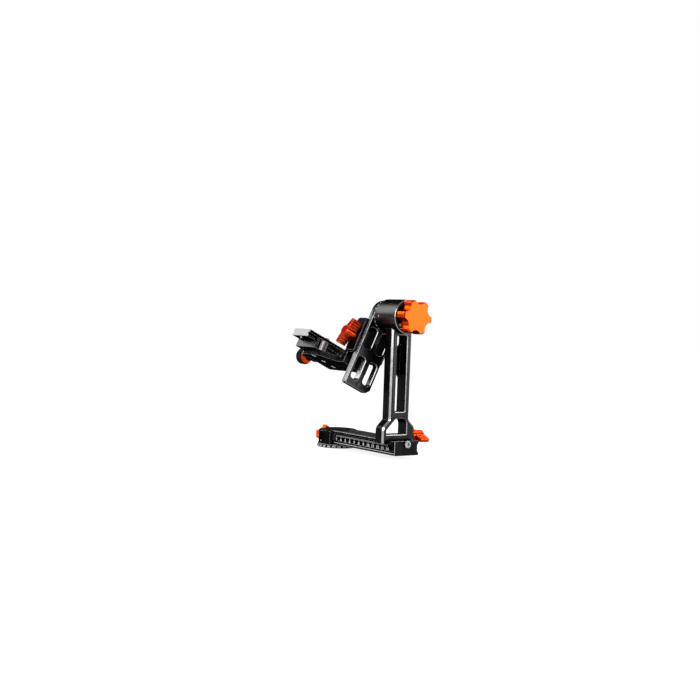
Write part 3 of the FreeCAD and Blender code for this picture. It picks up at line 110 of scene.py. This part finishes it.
# ---------------------------------------------------------------- camera and light

def add_camera():
    """The camera at the photograph's viewpoint."""
    azimuth = math.radians(VIEW_AZIMUTH)
    dip = math.radians(VIEW_DIP)
    roll = math.radians(VIEW_ROLL)
    right = Vector((math.cos(azimuth), math.sin(azimuth), 0))
    ahead = Vector((-math.sin(azimuth) * math.cos(dip), math.cos(azimuth) * math.cos(dip), -math.sin(dip)))
    up = right.cross(ahead)
    rolled_right = right * math.cos(roll) + up * math.sin(roll)
    rolled_up = up * math.cos(roll) - right * math.sin(roll)
    turn = Matrix((rolled_right, rolled_up, -ahead)).transposed().to_4x4()
    data = bpy.data.cameras.new("camera")
    data.sensor_width = SENSOR
    data.lens = SENSOR * FOCAL_PIXELS / FRAME_PIXELS
    data.clip_start = 0.05
    data.clip_end = 50
    camera = bpy.data.objects.new("camera", data)
    camera.matrix_world = Matrix.Translation(VIEW_PLACE) @ turn
    bpy.context.scene.collection.objects.link(camera)
    bpy.context.scene.camera = camera


def add_softbox(name, way, distance, width, height, radiance):
    """A soft lamp seen from the part in one direction; its power gives the radiance asked for."""
    data = bpy.data.lights.new(name, "AREA")
    data.shape = "RECTANGLE"
    data.size = width
    data.size_y = height
    data.energy = radiance * math.pi * width * height
    lamp = bpy.data.objects.new(name, data)
    aim = Vector(AIM)
    lamp.location = aim + Vector(way).normalized() * distance
    lamp.rotation_mode = "QUATERNION"
    lamp.rotation_quaternion = (aim - lamp.location).to_track_quat("-Z", "Y")
    bpy.context.scene.collection.objects.link(lamp)


def add_lamps():
    add_softbox("front", way=(0.56, -0.75, 0.35), distance=1.9, width=0.6, height=1.3, radiance=4.0)
    add_softbox("right", way=(0.82, 0.57, 0.08), distance=1.8, width=1.0, height=1.0, radiance=4.6)
    add_softbox("left", way=(-0.82, -0.26, 0.45), distance=1.6, width=1.1, height=0.8, radiance=3.8)
    add_softbox("top", way=(0.03, 0.57, 0.82), distance=1.5, width=0.9, height=0.9, radiance=2.2)


# ---------------------------------------------------------------- node trees

def opaque(colour, share=1.0):
    """A colour with its alpha, and with its three parts made a share of what they were."""
    return tuple(part * share for part in colour) + (1,)


class Nodes:
    """Short ways to add nodes to a tree."""

    def __init__(self, tree):
        self.tree = tree

    def fill(self, socket, value):
        if hasattr(value, "is_output"):
            self.tree.links.new(value, socket)
        else:
            socket.default_value = value

    def node(self, kind, inputs=None, **settings):
        made = self.tree.nodes.new(kind)
        for key, value in settings.items():
            setattr(made, key, value)
        for key, value in (inputs or {}).items():
            self.fill(made.inputs[key], value)
        return made

    def math(self, operation, *values):
        return self.node("ShaderNodeMath", dict(enumerate(values)), operation=operation).outputs[0]

    def vector(self, operation, *values, output=0):
        made = self.node("ShaderNodeVectorMath", dict(enumerate(values)), operation=operation)
        return made.outputs[output]

    def dot(self, vector, way):
        return self.vector("DOT_PRODUCT", vector, way, output="Value")

    def span(self, value, low, high, to_low, to_high):
        return self.node("ShaderNodeMapRange", {"Value": value, "From Min": low, "From Max": high,
                                                "To Min": to_low, "To Max": to_high}).outputs["Result"]

    def place(self):
        """The place on the object, in metres."""
        return self.node("ShaderNodeTexCoord").outputs["Object"]

    def seen(self):
        """Two masks: one for rays from the camera or through glass, one for rays off a glossy surface."""
        path = self.node("ShaderNodeLightPath")
        straight = self.math("MAXIMUM", path.outputs["Is Camera Ray"], path.outputs["Is Transmission Ray"])
        return straight, path.outputs["Is Glossy Ray"]

    def mirrored(self, way):
        """How bright the surroundings are in a reflection that goes one way from the part."""
        return self.span(self.dot(way, AWAY), BACKDROP_EDGE, BACKDROP_FULL, DIM_ROOM, 1.0)


# ---------------------------------------------------------------- world and floor

def add_world():
    """Soft surroundings that show as plain white, with a dimmer room where no backdrop is."""
    world = bpy.data.worlds.new("studio")
    bpy.context.scene.world = world
    world.use_nodes = True
    world.node_tree.nodes.clear()
    nodes = Nodes(world.node_tree)
    straight, glossy = nodes.seen()
    way = nodes.node("ShaderNodeTexCoord").outputs["Generated"]
    plain_light = nodes.math("MULTIPLY_ADD", straight, 1 - SOFT_LIGHT, SOFT_LIGHT)
    extra = nodes.math("MULTIPLY", glossy, nodes.math("SUBTRACT", nodes.mirrored(way), SOFT_LIGHT))
    sky = nodes.node("ShaderNodeBackground", {"Color": (1, 1, 1, 1),
                                              "Strength": nodes.math("ADD", plain_light, extra)})
    nodes.node("ShaderNodeOutputWorld", {"Surface": sky.outputs[0]})


def floor_paper():
    """White paper where it is seen, darkened only by the part's shadow, and plain grey to other light."""
    made = bpy.data.materials.new("floor_paper")
    made.use_nodes = True
    made.node_tree.nodes.clear()
    nodes = Nodes(made.node_tree)
    straight, glossy = nodes.seen()
    way = nodes.vector("NORMALIZE", nodes.vector("SUBTRACT", nodes.place(), AIM))
    reflected = nodes.math("MULTIPLY", glossy, nodes.mirrored(way))
    glow = nodes.math("MULTIPLY", nodes.math("MAXIMUM", straight, reflected), FLOOR_GLOW)
    paper = nodes.node("ShaderNodeBsdfPrincipled", {
        "Base Color": opaque((1, 1, 1), FLOOR_GREY), "Roughness": 1.0, "Specular IOR Level": 0.0,
        "Emission Color": (1, 1, 1, 1), "Emission Strength": glow})
    nodes.node("ShaderNodeOutputMaterial", {"Surface": paper.outputs[0]})
    return made


def add_floor():
    data = bpy.data.meshes.new("floor")
    corners = [(x * FLOOR_HALF, y * FLOOR_HALF, 0) for x, y in ((-1, -1), (1, -1), (1, 1), (-1, 1))]
    data.from_pydata(corners, [], [(0, 1, 2, 3)])
    floor = bpy.data.objects.new("floor", data)
    floor.location.z = -FLOOR_DROP
    bpy.context.scene.collection.objects.link(floor)
    data.materials.append(floor_paper())


# ---------------------------------------------------------------- what a material is made of

NOISE_LOW = 0.3           # the range that most of a noise lies in
NOISE_HIGH = 0.7
EDGE_SAMPLES = 6
EDGE_START = 0.99         # how far the rounded normal agrees with the true one where an edge starts,
EDGE_FULL = 0.86          # and where it is at its brightest
OPEN_REACH = 4            # how far round a place its openness is felt, in edge radii
OUTER_START = 0.55        # openness of outer edges
OUTER_FULL = 0.8
HOLLOW_START = 0.95       # and of hollows
HOLLOW_FULL = 0.5
BEVEL_FACING = (0.55, 0.62, 0.82, 0.9)  # how far a bevel faces one way: starts, full, full, ends
END_FACING = (0.95, 0.98)  # how far a square face does
SIDE_FACING = (0.5, 0.6)  # less than this is a side, and more than this is not


class Recipe(Nodes):
    """A procedural material. Its masks are 1 inside and 0 outside."""

    def __init__(self, name):
        self.material = bpy.data.materials.new(name)
        self.material.use_nodes = True
        super().__init__(self.material.node_tree)
        self.shader = self.tree.nodes["Principled BSDF"]

    def set(self, **values):
        for key, value in values.items():
            self.fill(self.shader.inputs[key.replace("_", " ")], value)

    def noise(self, scale, detail=2.0, stretch=(1, 1, 1)):
        """Noise in object space; scale is in features per metre."""
        mapped = self.node("ShaderNodeMapping", {"Vector": self.place(), "Scale": stretch}).outputs[0]
        made = self.node("ShaderNodeTexNoise", {"Vector": mapped, "Scale": scale, "Detail": detail})
        return made.outputs["Fac"]

    def spread(self, noise, low, high):
        """Noise brought to a range of values, with its rare highs and lows cut off."""
        return self.span(noise, NOISE_LOW, NOISE_HIGH, low, high)

    def blend(self, factor, first, second):
        """Two colours mixed. A Mix node's colours are its inputs 6 and 7 and its output 2."""
        made = self.node("ShaderNodeMix", data_type="RGBA")
        for index, value in ((0, factor), (6, first), (7, second)):
            self.fill(made.inputs[index], value)
        return made.outputs[2]

    def grey(self, level):
        return self.node("ShaderNodeCombineColor", {0: level, 1: level, 2: level}).outputs[0]

    def edges(self, radius):
        """Rounded normals, a mask of the outer edges and one of the hollows."""
        rounded = self.node("ShaderNodeBevel", {"Radius": radius}, samples=EDGE_SAMPLES).outputs[0]
        flat = self.node("ShaderNodeNewGeometry").outputs["Normal"]
        turned = self.span(self.dot(rounded, flat), EDGE_START, EDGE_FULL, 0.0, 1.0)
        around = self.node("ShaderNodeAmbientOcclusion", {"Distance": radius * OPEN_REACH},
                           samples=EDGE_SAMPLES).outputs["AO"]
        outer = self.span(around, OUTER_START, OUTER_FULL, 0.0, 1.0)
        hollow = self.span(around, HOLLOW_FULL, HOLLOW_START, 1.0, 0.0)
        return rounded, self.all_of(turned, outer), hollow

    def along(self, way):
        """How far the surface faces one way, from -1 to 1, in the part's own directions."""
        return self.dot(self.node("ShaderNodeTexCoord").outputs["Normal"], way)

    def within(self, middle, way, radius):
        """A mask of a cylinder round an axis, all in metres."""
        off = self.vector("SUBTRACT", self.place(), middle)
        far = self.vector("LENGTH", self.vector("CROSS_PRODUCT", off, way), output="Value")
        return self.math("LESS_THAN", far, radius)

    def past(self, way, far, start=(0, 0, 0)):
        """A mask of all that lies more than far millimetres along one way from a place in metres."""
        return self.math("GREATER_THAN", self.dot(self.place(), way), Vector(start).dot(way) + far * MM)

    def all_of(self, first, *others):
        for mask in others:
            first = self.math("MULTIPLY", first, mask)
        return first

    def any_of(self, first, *others):
        for mask in others:
            first = self.math("MAXIMUM", first, mask)
        return first

    def sloped(self, way):
        """A mask of the 45 degree bevels round the faces square to one way."""
        slope = self.math("ABSOLUTE", self.along(way))
        low, low_full, high_full, high = BEVEL_FACING
        return self.all_of(self.span(slope, low, low_full, 0, 1), self.span(slope, high, high_full, 0, 1))

    def ends(self, way):
        """A mask of the faces square to one way."""
        return self.span(self.math("ABSOLUTE", self.along(way)), *END_FACING, 0, 1)

    def bump(self, height, strength, distance, normal=None):
        inputs = {"Height": height, "Strength": strength, "Distance": distance}
        if normal:
            inputs["Normal"] = normal
        return self.node("ShaderNodeBump", inputs).outputs[0]


# ---------------------------------------------------------------- materials

BLACK_EDGE = 0.8 * MM     # rounding of the edges of each finish
ORANGE_EDGE = 0.7 * MM
METAL_EDGE = 0.3 * MM
FACING = 0.05             # tint at a grazing view where a finish doesn't shine there
BLACK = (1, 1, 1.05)      # tints of the blacks, which their depth makes dark
PALE_BLACK = (1.5, 1.5, 1.6)
# the tint of the painted edge highlight
EDGE_TINT = (1, 1, 1.03)
TURNED_GREY = 0.09        # a smoothly turned black surface
TURNED_SMOOTH = 0.8       # its roughness, as a share of the finish's
CUT_SMOOTH = 0.1          # how much less rough a bright cut is
LINE_SHADE = 0.85         # how bright the tool lines in it are, beside the rest
ORANGE = (0.84, 0.060, 0.0065)
PALE_ORANGE = (0.88, 0.068, 0.008)
ORANGE_GLINT = (1.0, 0.42, 0.16)
ORANGE_GRAZING = (0.9, 0.35, 0.1)
# painted shade in the orange's grooves
GROOVE_SHADE_RED = (0.28, 0.012, 0.003)
# painted shade on the orange's faces square to one way
END_SHADE_RED = (0.09, 0.005, 0.002)
STEEL_GREY = (0.5, 0.5, 0.52)
TURNED_STEEL = (0.55, 0.55, 0.57)
BLACKENED_STEEL = (0.06, 0.06, 0.065)
PALE_STEEL = (0.9, 0.87, 0.85)
BRONZE = (0.6, 0.4, 0.18)
RUBBER = (0.02, 0.02, 0.02)
NYLON = (0.8, 0.79, 0.74)
WHITE_PAINT = (0.95, 0.95, 0.93)
# painted shade in a thread's roots
ROOT_SHADE_GREY = (0.1, 0.1, 0.1)
QUARTER_INCH_PITCH = 1.27 * MM
CREST_START = 0.2         # where a thread's crest starts, from -1 at its root to 1
ROOT_SHADE = 0.45         # how much of the steel's colour its root keeps under the painted shade


def anodised_black(name, depth=0.02, rough=0.34, shine=0.6, grazing=FACING, cut_and_sheen=None, cut_and_sheen_level=0.42,
                   turned=None):
    """Bead-blasted black anodised aluminium.

    Its outer edges carry a painted highlight, partly standing for a bright cut. The faces picked for cuts are made
    brighter metal, partly as real bright cuts and partly as painted highlights and reflections; the faces picked
    as turned have a smoother, paler finish.
    """
    recipe = Recipe(name)
    rounded, mask, _ = recipe.edges(BLACK_EDGE)
    cloud = recipe.noise(scale=140, detail=3)
    grain = recipe.noise(scale=9000)
    body = recipe.blend(recipe.spread(cloud, 0.0, 1.0), opaque(BLACK, depth), opaque(PALE_BLACK, depth))
    roughness = recipe.spread(cloud, rough - 0.04, rough + 0.05)
    tint = opaque((1, 1, 1), grazing)
    if turned:
        smooth = turned(recipe)
        body = recipe.blend(smooth, body, opaque((1, 1, 1), TURNED_GREY))
        tint = recipe.grey(recipe.span(smooth, 0, 1, grazing, FACING))
        roughness = recipe.math("MULTIPLY", roughness, recipe.span(smooth, 0, 1, 1, TURNED_SMOOTH))
    if cut_and_sheen:
        # the picked faces: partly bright cuts, partly painted highlights and reflections
        cut_and_sheen_mask = cut_and_sheen(recipe)
        lines = recipe.noise(scale=1500, stretch=(1, 1, 0.15))
        body = recipe.blend(cut_and_sheen_mask, body, recipe.grey(recipe.spread(lines, cut_and_sheen_level * LINE_SHADE, cut_and_sheen_level)))
        roughness = recipe.math("MULTIPLY_ADD", cut_and_sheen_mask, -CUT_SMOOTH, roughness)
    # painted highlight on the outer edges
    lit_edge = recipe.blend(mask, body, opaque(EDGE_TINT, shine))
    recipe.set(Base_Color=lit_edge, Metallic=1.0, Roughness=roughness, Specular_Tint=tint,
               Normal=recipe.bump(grain, strength=0.12, distance=0.03 * MM, normal=rounded))
    return recipe.material


def anodised_orange(name, shaded_way=None, shaded_grooves=True):
    """Bright orange anodising over turned aluminium.

    It has painted shade, deep red, in its grooves, painted shade, dark red, on the faces square to a given way,
    and a painted highlight on its outer edges.
    """
    recipe = Recipe(name)
    rounded, mask, hollow = recipe.edges(ORANGE_EDGE)
    cloud = recipe.noise(scale=90)
    grain = recipe.noise(scale=5200)
    body = recipe.blend(recipe.spread(cloud, 0.0, 1.0), opaque(ORANGE), opaque(PALE_ORANGE))
    # painted shade on the faces square to the given way
    if shaded_way:
        body = recipe.blend(recipe.ends(shaded_way), body, opaque(END_SHADE_RED))
    # painted shade, deep red, in the grooves
    if shaded_grooves:
        body = recipe.blend(hollow, body, opaque(GROOVE_SHADE_RED))
    # painted highlight on the outer edges
    lit_edge = recipe.blend(mask, body, opaque(ORANGE_GLINT))
    recipe.set(Base_Color=lit_edge, Metallic=0.95, Roughness=recipe.spread(cloud, 0.19, 0.22),
               Specular_Tint=opaque(ORANGE_GRAZING),
               Normal=recipe.bump(grain, strength=0.04, distance=0.02 * MM, normal=rounded))
    return recipe.material


def threaded(name, colour, way, pitch):
    """Plated steel with a thread's turns along one way and painted shade in their roots; pitch is in metres."""
    recipe = Recipe(name)
    height = recipe.dot(recipe.place(), way)
    turns = recipe.math("SINE", recipe.math("MULTIPLY", height, 2 * math.pi / pitch))
    side = recipe.span(recipe.math("ABSOLUTE", recipe.along(way)), *SIDE_FACING, 1, 0)
    groove = recipe.math("MULTIPLY", turns, side)
    # painted shade in the thread's roots
    shade = recipe.span(groove, -1, CREST_START, ROOT_SHADE, 1)
    recipe.set(Base_Color=recipe.blend(shade, opaque(ROOT_SHADE_GREY), opaque(colour)), Metallic=1.0,
               Roughness=0.28, Normal=recipe.bump(groove, strength=0.8, distance=0.3 * MM))
    return recipe.material


def bright_metal(name, colour, rough, stretch=(1, 1, 1)):
    """Turned metal with fine tool lines, drawn out along the directions where stretch is small."""
    recipe = Recipe(name)
    rounded, _, _ = recipe.edges(METAL_EDGE)
    lines = recipe.noise(scale=2500, detail=3, stretch=stretch)
    dark_line = opaque(colour, 0.82)
    body = recipe.blend(lines, opaque(colour), dark_line)
    recipe.set(Base_Color=body, Metallic=1.0, Roughness=recipe.spread(lines, rough, rough + 0.12),
               Normal=recipe.bump(lines, strength=0.2, distance=0.03 * MM, normal=rounded))
    return recipe.material


def plain(name, colour, rough, grain_scale, grain):
    """Rubber, nylon or paint with a fine grain."""
    recipe = Recipe(name)
    speck = recipe.noise(grain_scale, detail=3)
    dark_speck = opaque(colour, 0.85)
    body = recipe.blend(speck, dark_speck, opaque(colour))
    recipe.set(Base_Color=body, Metallic=0.0, Roughness=recipe.spread(speck, rough - 0.06, rough + 0.06),
               Normal=recipe.bump(speck, strength=grain, distance=0.05 * MM))
    return recipe.material


# ---------------------------------------------------------------- the bright cuts, painted highlights and painted shade of each black piece

NEAR_EDGE = 0.9           # how far in from an edge its cut is looked for
CHAMFER_REACH = 1.0
LIP_HEIGHT = 0.8
TOP_CUT = 0.15            # how bright the rail's top chamfer is, beside a full cut
BACK_BEVEL_SHADE = 0.55           # the post's bevels that face back, darkened by painted shade
LENS_SIDE_CUT = 0.3       # the plate's bevels on the side of the lens
WALL_SHEEN = 0.8            # its rear edge and the front and rear walls of its windows, brightened as a painted highlight
FRONT_CUT = 0.02          # its front edge
LOW_FRONT_REFLECTION = 0.35           # the lower part of its front edge, brightened as a painted reflection
CLAMP_SHEEN = 0.3           # the lens clamp's front and rear faces, brightened as a painted reflection
PLATE_FRONT = 18.0        # only the plate's front edge lies further forward of the tilt axis than this
REFLECTION_BELOW = 62.0         # the front edge carries the painted reflection further below the tilt axis than this
AXLE_REACH = 22.6 * MM    # a little more than the tilt housing's radius
BOSS_REACH = 6.1 * MM


def rail_cuts(recipe):
    """The rail's chamfers, the low edge of its recess and the upright corners of its end."""
    rail = recipe.past((1, 0, 0), RAIL_START)
    side = recipe.any_of(recipe.past((0, -1, 0), RAIL_HALF - NEAR_EDGE),
                         recipe.past((0, 1, 0), RAIL_HALF - NEAR_EDGE))
    slope = recipe.all_of(rail, recipe.sloped((0, 0, 1)))
    top = recipe.all_of(slope, recipe.past((0, 0, 1), RAIL_TOP - CHAMFER_REACH))
    bottom = recipe.all_of(slope, recipe.past((0, 0, -1), -RAIL_LOW - CHAMFER_REACH))
    chamfer = recipe.math("MULTIPLY_ADD", top, TOP_CUT, bottom)
    flat = recipe.all_of(rail, side, recipe.ends((0, 1, 0)))
    lip = recipe.all_of(flat, recipe.past((0, 0, 1), RECESS_LOW - LIP_HEIGHT),
                        recipe.past((0, 0, -1), -RECESS_LOW))
    corner = recipe.all_of(flat, recipe.past((1, 0, 0), RAIL_END - NEAR_EDGE))
    return recipe.any_of(chamfer, lip, corner)


def post_cuts(recipe):
    """The bevels round the post, its slots and its arch, with painted shade where they face back."""
    painted_back_shade = recipe.span(recipe.along((0, 1, 0)), *SIDE_FACING, 1, BACK_BEVEL_SHADE)
    return recipe.all_of(recipe.sloped((1, 0, 0)), painted_back_shade)


def turned_housing(recipe):
    """The tilt housing, from the axle out."""
    return recipe.within(AXLE, ACROSS, AXLE_REACH)


def plate_cuts(recipe):
    """The plate's bevels, a painted highlight on the walls and edges that face front or back, and a painted
    reflection on the lower part of the front edge.
    """
    front_edge = recipe.span(recipe.past(DOWNWARD, REFLECTION_BELOW, AXLE), 0, 1, FRONT_CUT, LOW_FRONT_REFLECTION)
    wall = recipe.span(recipe.past(BACKWARD, -PLATE_FRONT, AXLE), 0, 1, front_edge, WALL_SHEEN)
    bevel = recipe.span(recipe.past(ACROSS, PLATE_FACE - CHAMFER_REACH), 0, 1, LENS_SIDE_CUT, 1)
    return recipe.any_of(recipe.all_of(recipe.sloped(ACROSS), bevel),
                         recipe.all_of(recipe.ends(BACKWARD), wall))


def lens_rail_cuts(recipe):
    """The lens plate's two ends, partly bright saw cuts and partly a painted reflection."""
    return recipe.ends(BACKWARD)


def clamp_cuts(recipe):
    """A painted highlight on the round boss, and a little painted reflection on the lens clamp's front and rear
    faces.
    """
    return recipe.any_of(recipe.math("MULTIPLY", recipe.ends(BACKWARD), CLAMP_SHEEN),
                         recipe.within(BOSS, UPWARD, BOSS_REACH))


# ---------------------------------------------------------------- which piece wears what

def slot_looks():
    """The material of each of the record's material slots."""
    black = anodised_black("black_anodised")
    cap = anodised_black("black_matt_cap", rough=0.42, shine=0.12)
    return {
        "base_black": black,
        "cradle_black": black,
        "clamp_black": black,
        "arm_black": anodised_black("black_arm", depth=0.011, rough=0.3, grazing=0.0, cut_and_sheen=rail_cuts,
                                    cut_and_sheen_level=0.85),
        "upright_black": anodised_black("black_post", rough=0.3, grazing=0.4, cut_and_sheen=post_cuts, cut_and_sheen_level=0.68,
                                        turned=turned_housing),
        "plate_black": anodised_black("black_swing_plate", depth=0.026, cut_and_sheen=plate_cuts, cut_and_sheen_level=0.5),
        "cap_black": cap,
        "cap_knurled": cap,
        "knob_orange": anodised_orange("orange_anodised"),
        "screw_silver": bright_metal("nickel_plate", STEEL_GREY, rough=0.18),
        "steel_inner": bright_metal("turned_steel", TURNED_STEEL, rough=0.3, stretch=(0.1, 1, 1)),
        "bronze": bright_metal("bearing_bronze", BRONZE, rough=0.3, stretch=(1, 1, 0.1)),
        "rubber": plain("black_rubber", RUBBER, rough=0.62, grain_scale=3000, grain=0.5),
        "pad_nylon": plain("nylon", NYLON, rough=0.5, grain_scale=2000, grain=0.2)}


def own_looks():
    """The material of each node that differs from its slot."""
    clamp = anodised_black("black_clamp", rough=0.46, cut_and_sheen=clamp_cuts, cut_and_sheen_level=0.5)
    dark_steel = bright_metal("blackened_screw", BLACKENED_STEEL, rough=0.3)
    return {
        "lens_plate": anodised_black("black_lens_rail", depth=0.011, cut_and_sheen=lens_rail_cuts, cut_and_sheen_level=0.24),
        "qr_clamp_body": clamp,
        "qr_jaw": clamp,
        # the wing knob's faces square to the backward way get painted shade
        "height_knob": anodised_orange("orange_wing", shaded_way=BACKWARD),
        "qr_knob_collar": anodised_orange("orange_hub", shaded_grooves=False),
        "lens_screw": threaded("quarter_inch_thread", STEEL_GREY, UPWARD, QUARTER_INCH_PITCH),
        "end_cap_screws": bright_metal("pale_screw", PALE_STEEL, rough=0.5),
        "plate_stop_screw": dark_steel,
        "bracket_screws": dark_steel}


def dress():
    by_slot = slot_looks()
    by_node = own_looks()
    for part in frame["record"]["subparts"]:
        materials = NODES[part["node"]].data.materials
        materials.clear()
        materials.append(by_node.get(part["node"], by_slot[part["material_slot"]]))


# ---------------------------------------------------------------- engraved marks

PAINT_PROUD = 0.03        # millimetres, as all below
FIGURE_SHARE = 0.7        # a figure's height in the font's size
FIGURE_BOLD = 0.08        # how far its outline grows, as a share of its height
DEGREE_STEP = 5
DEGREE_MARKS = 360 // DEGREE_STEP
BOLD_EVERY = 3            # marks from one number or bold mark to the next
DOT_R = 1.0
DOT_POINTS = 20


def bar(u, v, width, height):
    """An upright mark, centred on u and standing on v."""
    return [(u - width / 2, v), (u + width / 2, v), (u + width / 2, v + height), (u - width / 2, v + height)]


def dot(u, v):
    turns = [2 * math.pi * i / DOT_POINTS for i in range(DOT_POINTS)]
    return [(u + DOT_R * math.cos(turn), v + DOT_R * math.sin(turn)) for turn in turns]


def numeral(text, u, v, size, stretch):
    """A number's filled outlines, centred on u and standing on v.

    The size is the figure's height; stretch makes it wider in the units of u.
    """
    curve = bpy.data.curves.new("numeral", "FONT")
    curve.body = text
    curve.align_x = "CENTER"
    curve.size = size / FIGURE_SHARE
    curve.offset = size * FIGURE_BOLD
    curve.resolution_u = 3
    holder = bpy.data.objects.new("numeral", curve)
    outline = bpy.data.meshes.new_from_object(holder)
    shapes = [[(u + outline.vertices[i].co.x * stretch, v + outline.vertices[i].co.y) for i in face.vertices]
              for face in outline.polygons]
    bpy.data.meshes.remove(outline)
    bpy.data.objects.remove(holder)
    bpy.data.curves.remove(curve)
    return shapes


def paint(name, shapes, surface, body, material):
    """A thin layer of paint: flat shapes carried by surface(u, v) onto the part, in millimetres."""
    points = []
    faces = []
    for shape in shapes:
        faces.append(range(len(points), len(points) + len(shape)))
        points.extend(Vector(surface(u, v)) * MM for u, v in shape)
    mesh = bpy.data.meshes.new(name)
    mesh.from_pydata(points, [], faces)
    mesh.validate()
    mesh.materials.append(material)
    piece = bpy.data.objects.new(name, mesh)
    bpy.context.scene.collection.objects.link(piece)
    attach(piece, body)


def add_rail_scale(white):
    """Numbers under ticks on the recess's floor, on the rail's front; u runs along the rail and v up."""
    first_number = 3
    numbers = 12
    first = 21.6
    pitch = 10.45
    ticks = 5             # from one number to the next
    foot = 10.8
    top = 18.5
    shapes = []
    for i in range(numbers):
        shapes += numeral(str(first_number + i), first + pitch * i, foot, size=3.5, stretch=1.3)
    for i in range((numbers - 1) * ticks + 1):
        tall = 2.0 if i % ticks else 3.4
        shapes.append(bar(first + pitch / ticks * i, top - tall, width=0.72, height=tall))
    paint("rail_scale", shapes, lambda u, v: (u, -RECESS_FLOOR - PAINT_PROUD, v), "arm", white)


def add_pan_degrees(white):
    """Marks over numbers on the base's rim; u is in degrees and v is the height."""
    straight = 1          # height of the rim's straight foot
    narrowing = 0.3       # how much the rim draws in with each millimetre above it
    foot = 0.9
    mark_foot = 3.5
    shapes = []
    for i in range(DEGREE_MARKS):
        angle = i * DEGREE_STEP
        shapes.append(bar(angle, mark_foot, width=1.1, height=1.4))
        if i % BOLD_EVERY == 0:
            shapes += numeral(str(angle), angle, foot, size=2.2, stretch=1.9)

    def rim(u, v):
        """Twice as proud, because the middle of a wide figure cuts in under the round rim."""
        radius = BASE_R - narrowing * max(0, v - straight) + PAINT_PROUD * 2
        return radius * math.cos(math.radians(u)), radius * math.sin(math.radians(u)), v
    paint("pan_degrees", shapes, rim, "base", white)


def add_tilt_degrees(white):
    """Marks on the degree ring's rim; u is in degrees and v runs away from the plate."""
    foot = 0.1
    shapes = []
    for i in range(DEGREE_MARKS):
        width, height = (1.0, 0.9) if i % BOLD_EVERY else (3.6, 1.8)
        shapes.append(bar(i * DEGREE_STEP, foot, width, height))

    def ring(u, v):
        radius = RING_R + PAINT_PROUD
        turn = math.radians(u)
        return SWING @ Vector((PLATE_FACE + v, radius * math.cos(turn), radius * math.sin(turn)))
    paint("tilt_degrees", shapes, ring, "swing", white)


def add_height_scale(white):
    """A fine scale down the swing plate's front edge; u runs up the plate and v across its edge."""
    ticks = 46
    lowest = -100
    step = 2
    long_every = 5
    foot = 99.4
    shapes = []
    for i in range(ticks):
        tall = 2.6 if i % long_every else 3.8
        shapes.append(bar(lowest + step * i, foot, width=0.6, height=tall))
    paint("height_scale", shapes, lambda u, v: SWING @ Vector((v, -PLATE_HALF - PAINT_PROUD, u)),
          "swing", white)


def add_index_dots(white):
    """A dot on each housing beside its degree marks; u and v are lengths on the housing's skin."""
    tilt_dot_x = 115
    tilt_dot_v = 0.3
    pan_dot_turn = math.radians(265)
    pan_dot_z = 8.8

    def tilt_housing(u, v):
        radius = TILT_HOUSING_R + PAINT_PROUD
        turn = v / TILT_HOUSING_R
        return tilt_dot_x + u, -radius * math.cos(turn), TILT_Z + radius * math.sin(turn)

    def pan_housing(u, v):
        radius = PAN_HOUSING_R + PAINT_PROUD
        turn = pan_dot_turn + u / PAN_HOUSING_R
        return radius * math.cos(turn), radius * math.sin(turn), v
    paint("tilt_index", [dot(0, tilt_dot_v)], tilt_housing, "upright_body", white)
    paint("pan_index", [dot(0, pan_dot_z)], pan_housing, "arm", white)


def add_marks():
    white = plain("engraving_white", WHITE_PAINT, rough=0.5, grain_scale=4000, grain=0.2)
    add_rail_scale(white)
    add_pan_degrees(white)
    add_tilt_degrees(white)
    add_height_scale(white)
    add_index_dots(white)


# ---------------------------------------------------------------- the scene

add_camera()
add_world()
add_floor()
add_lamps()
dress()
add_marks()

bpy.context.scene.view_settings.view_transform = "Standard"
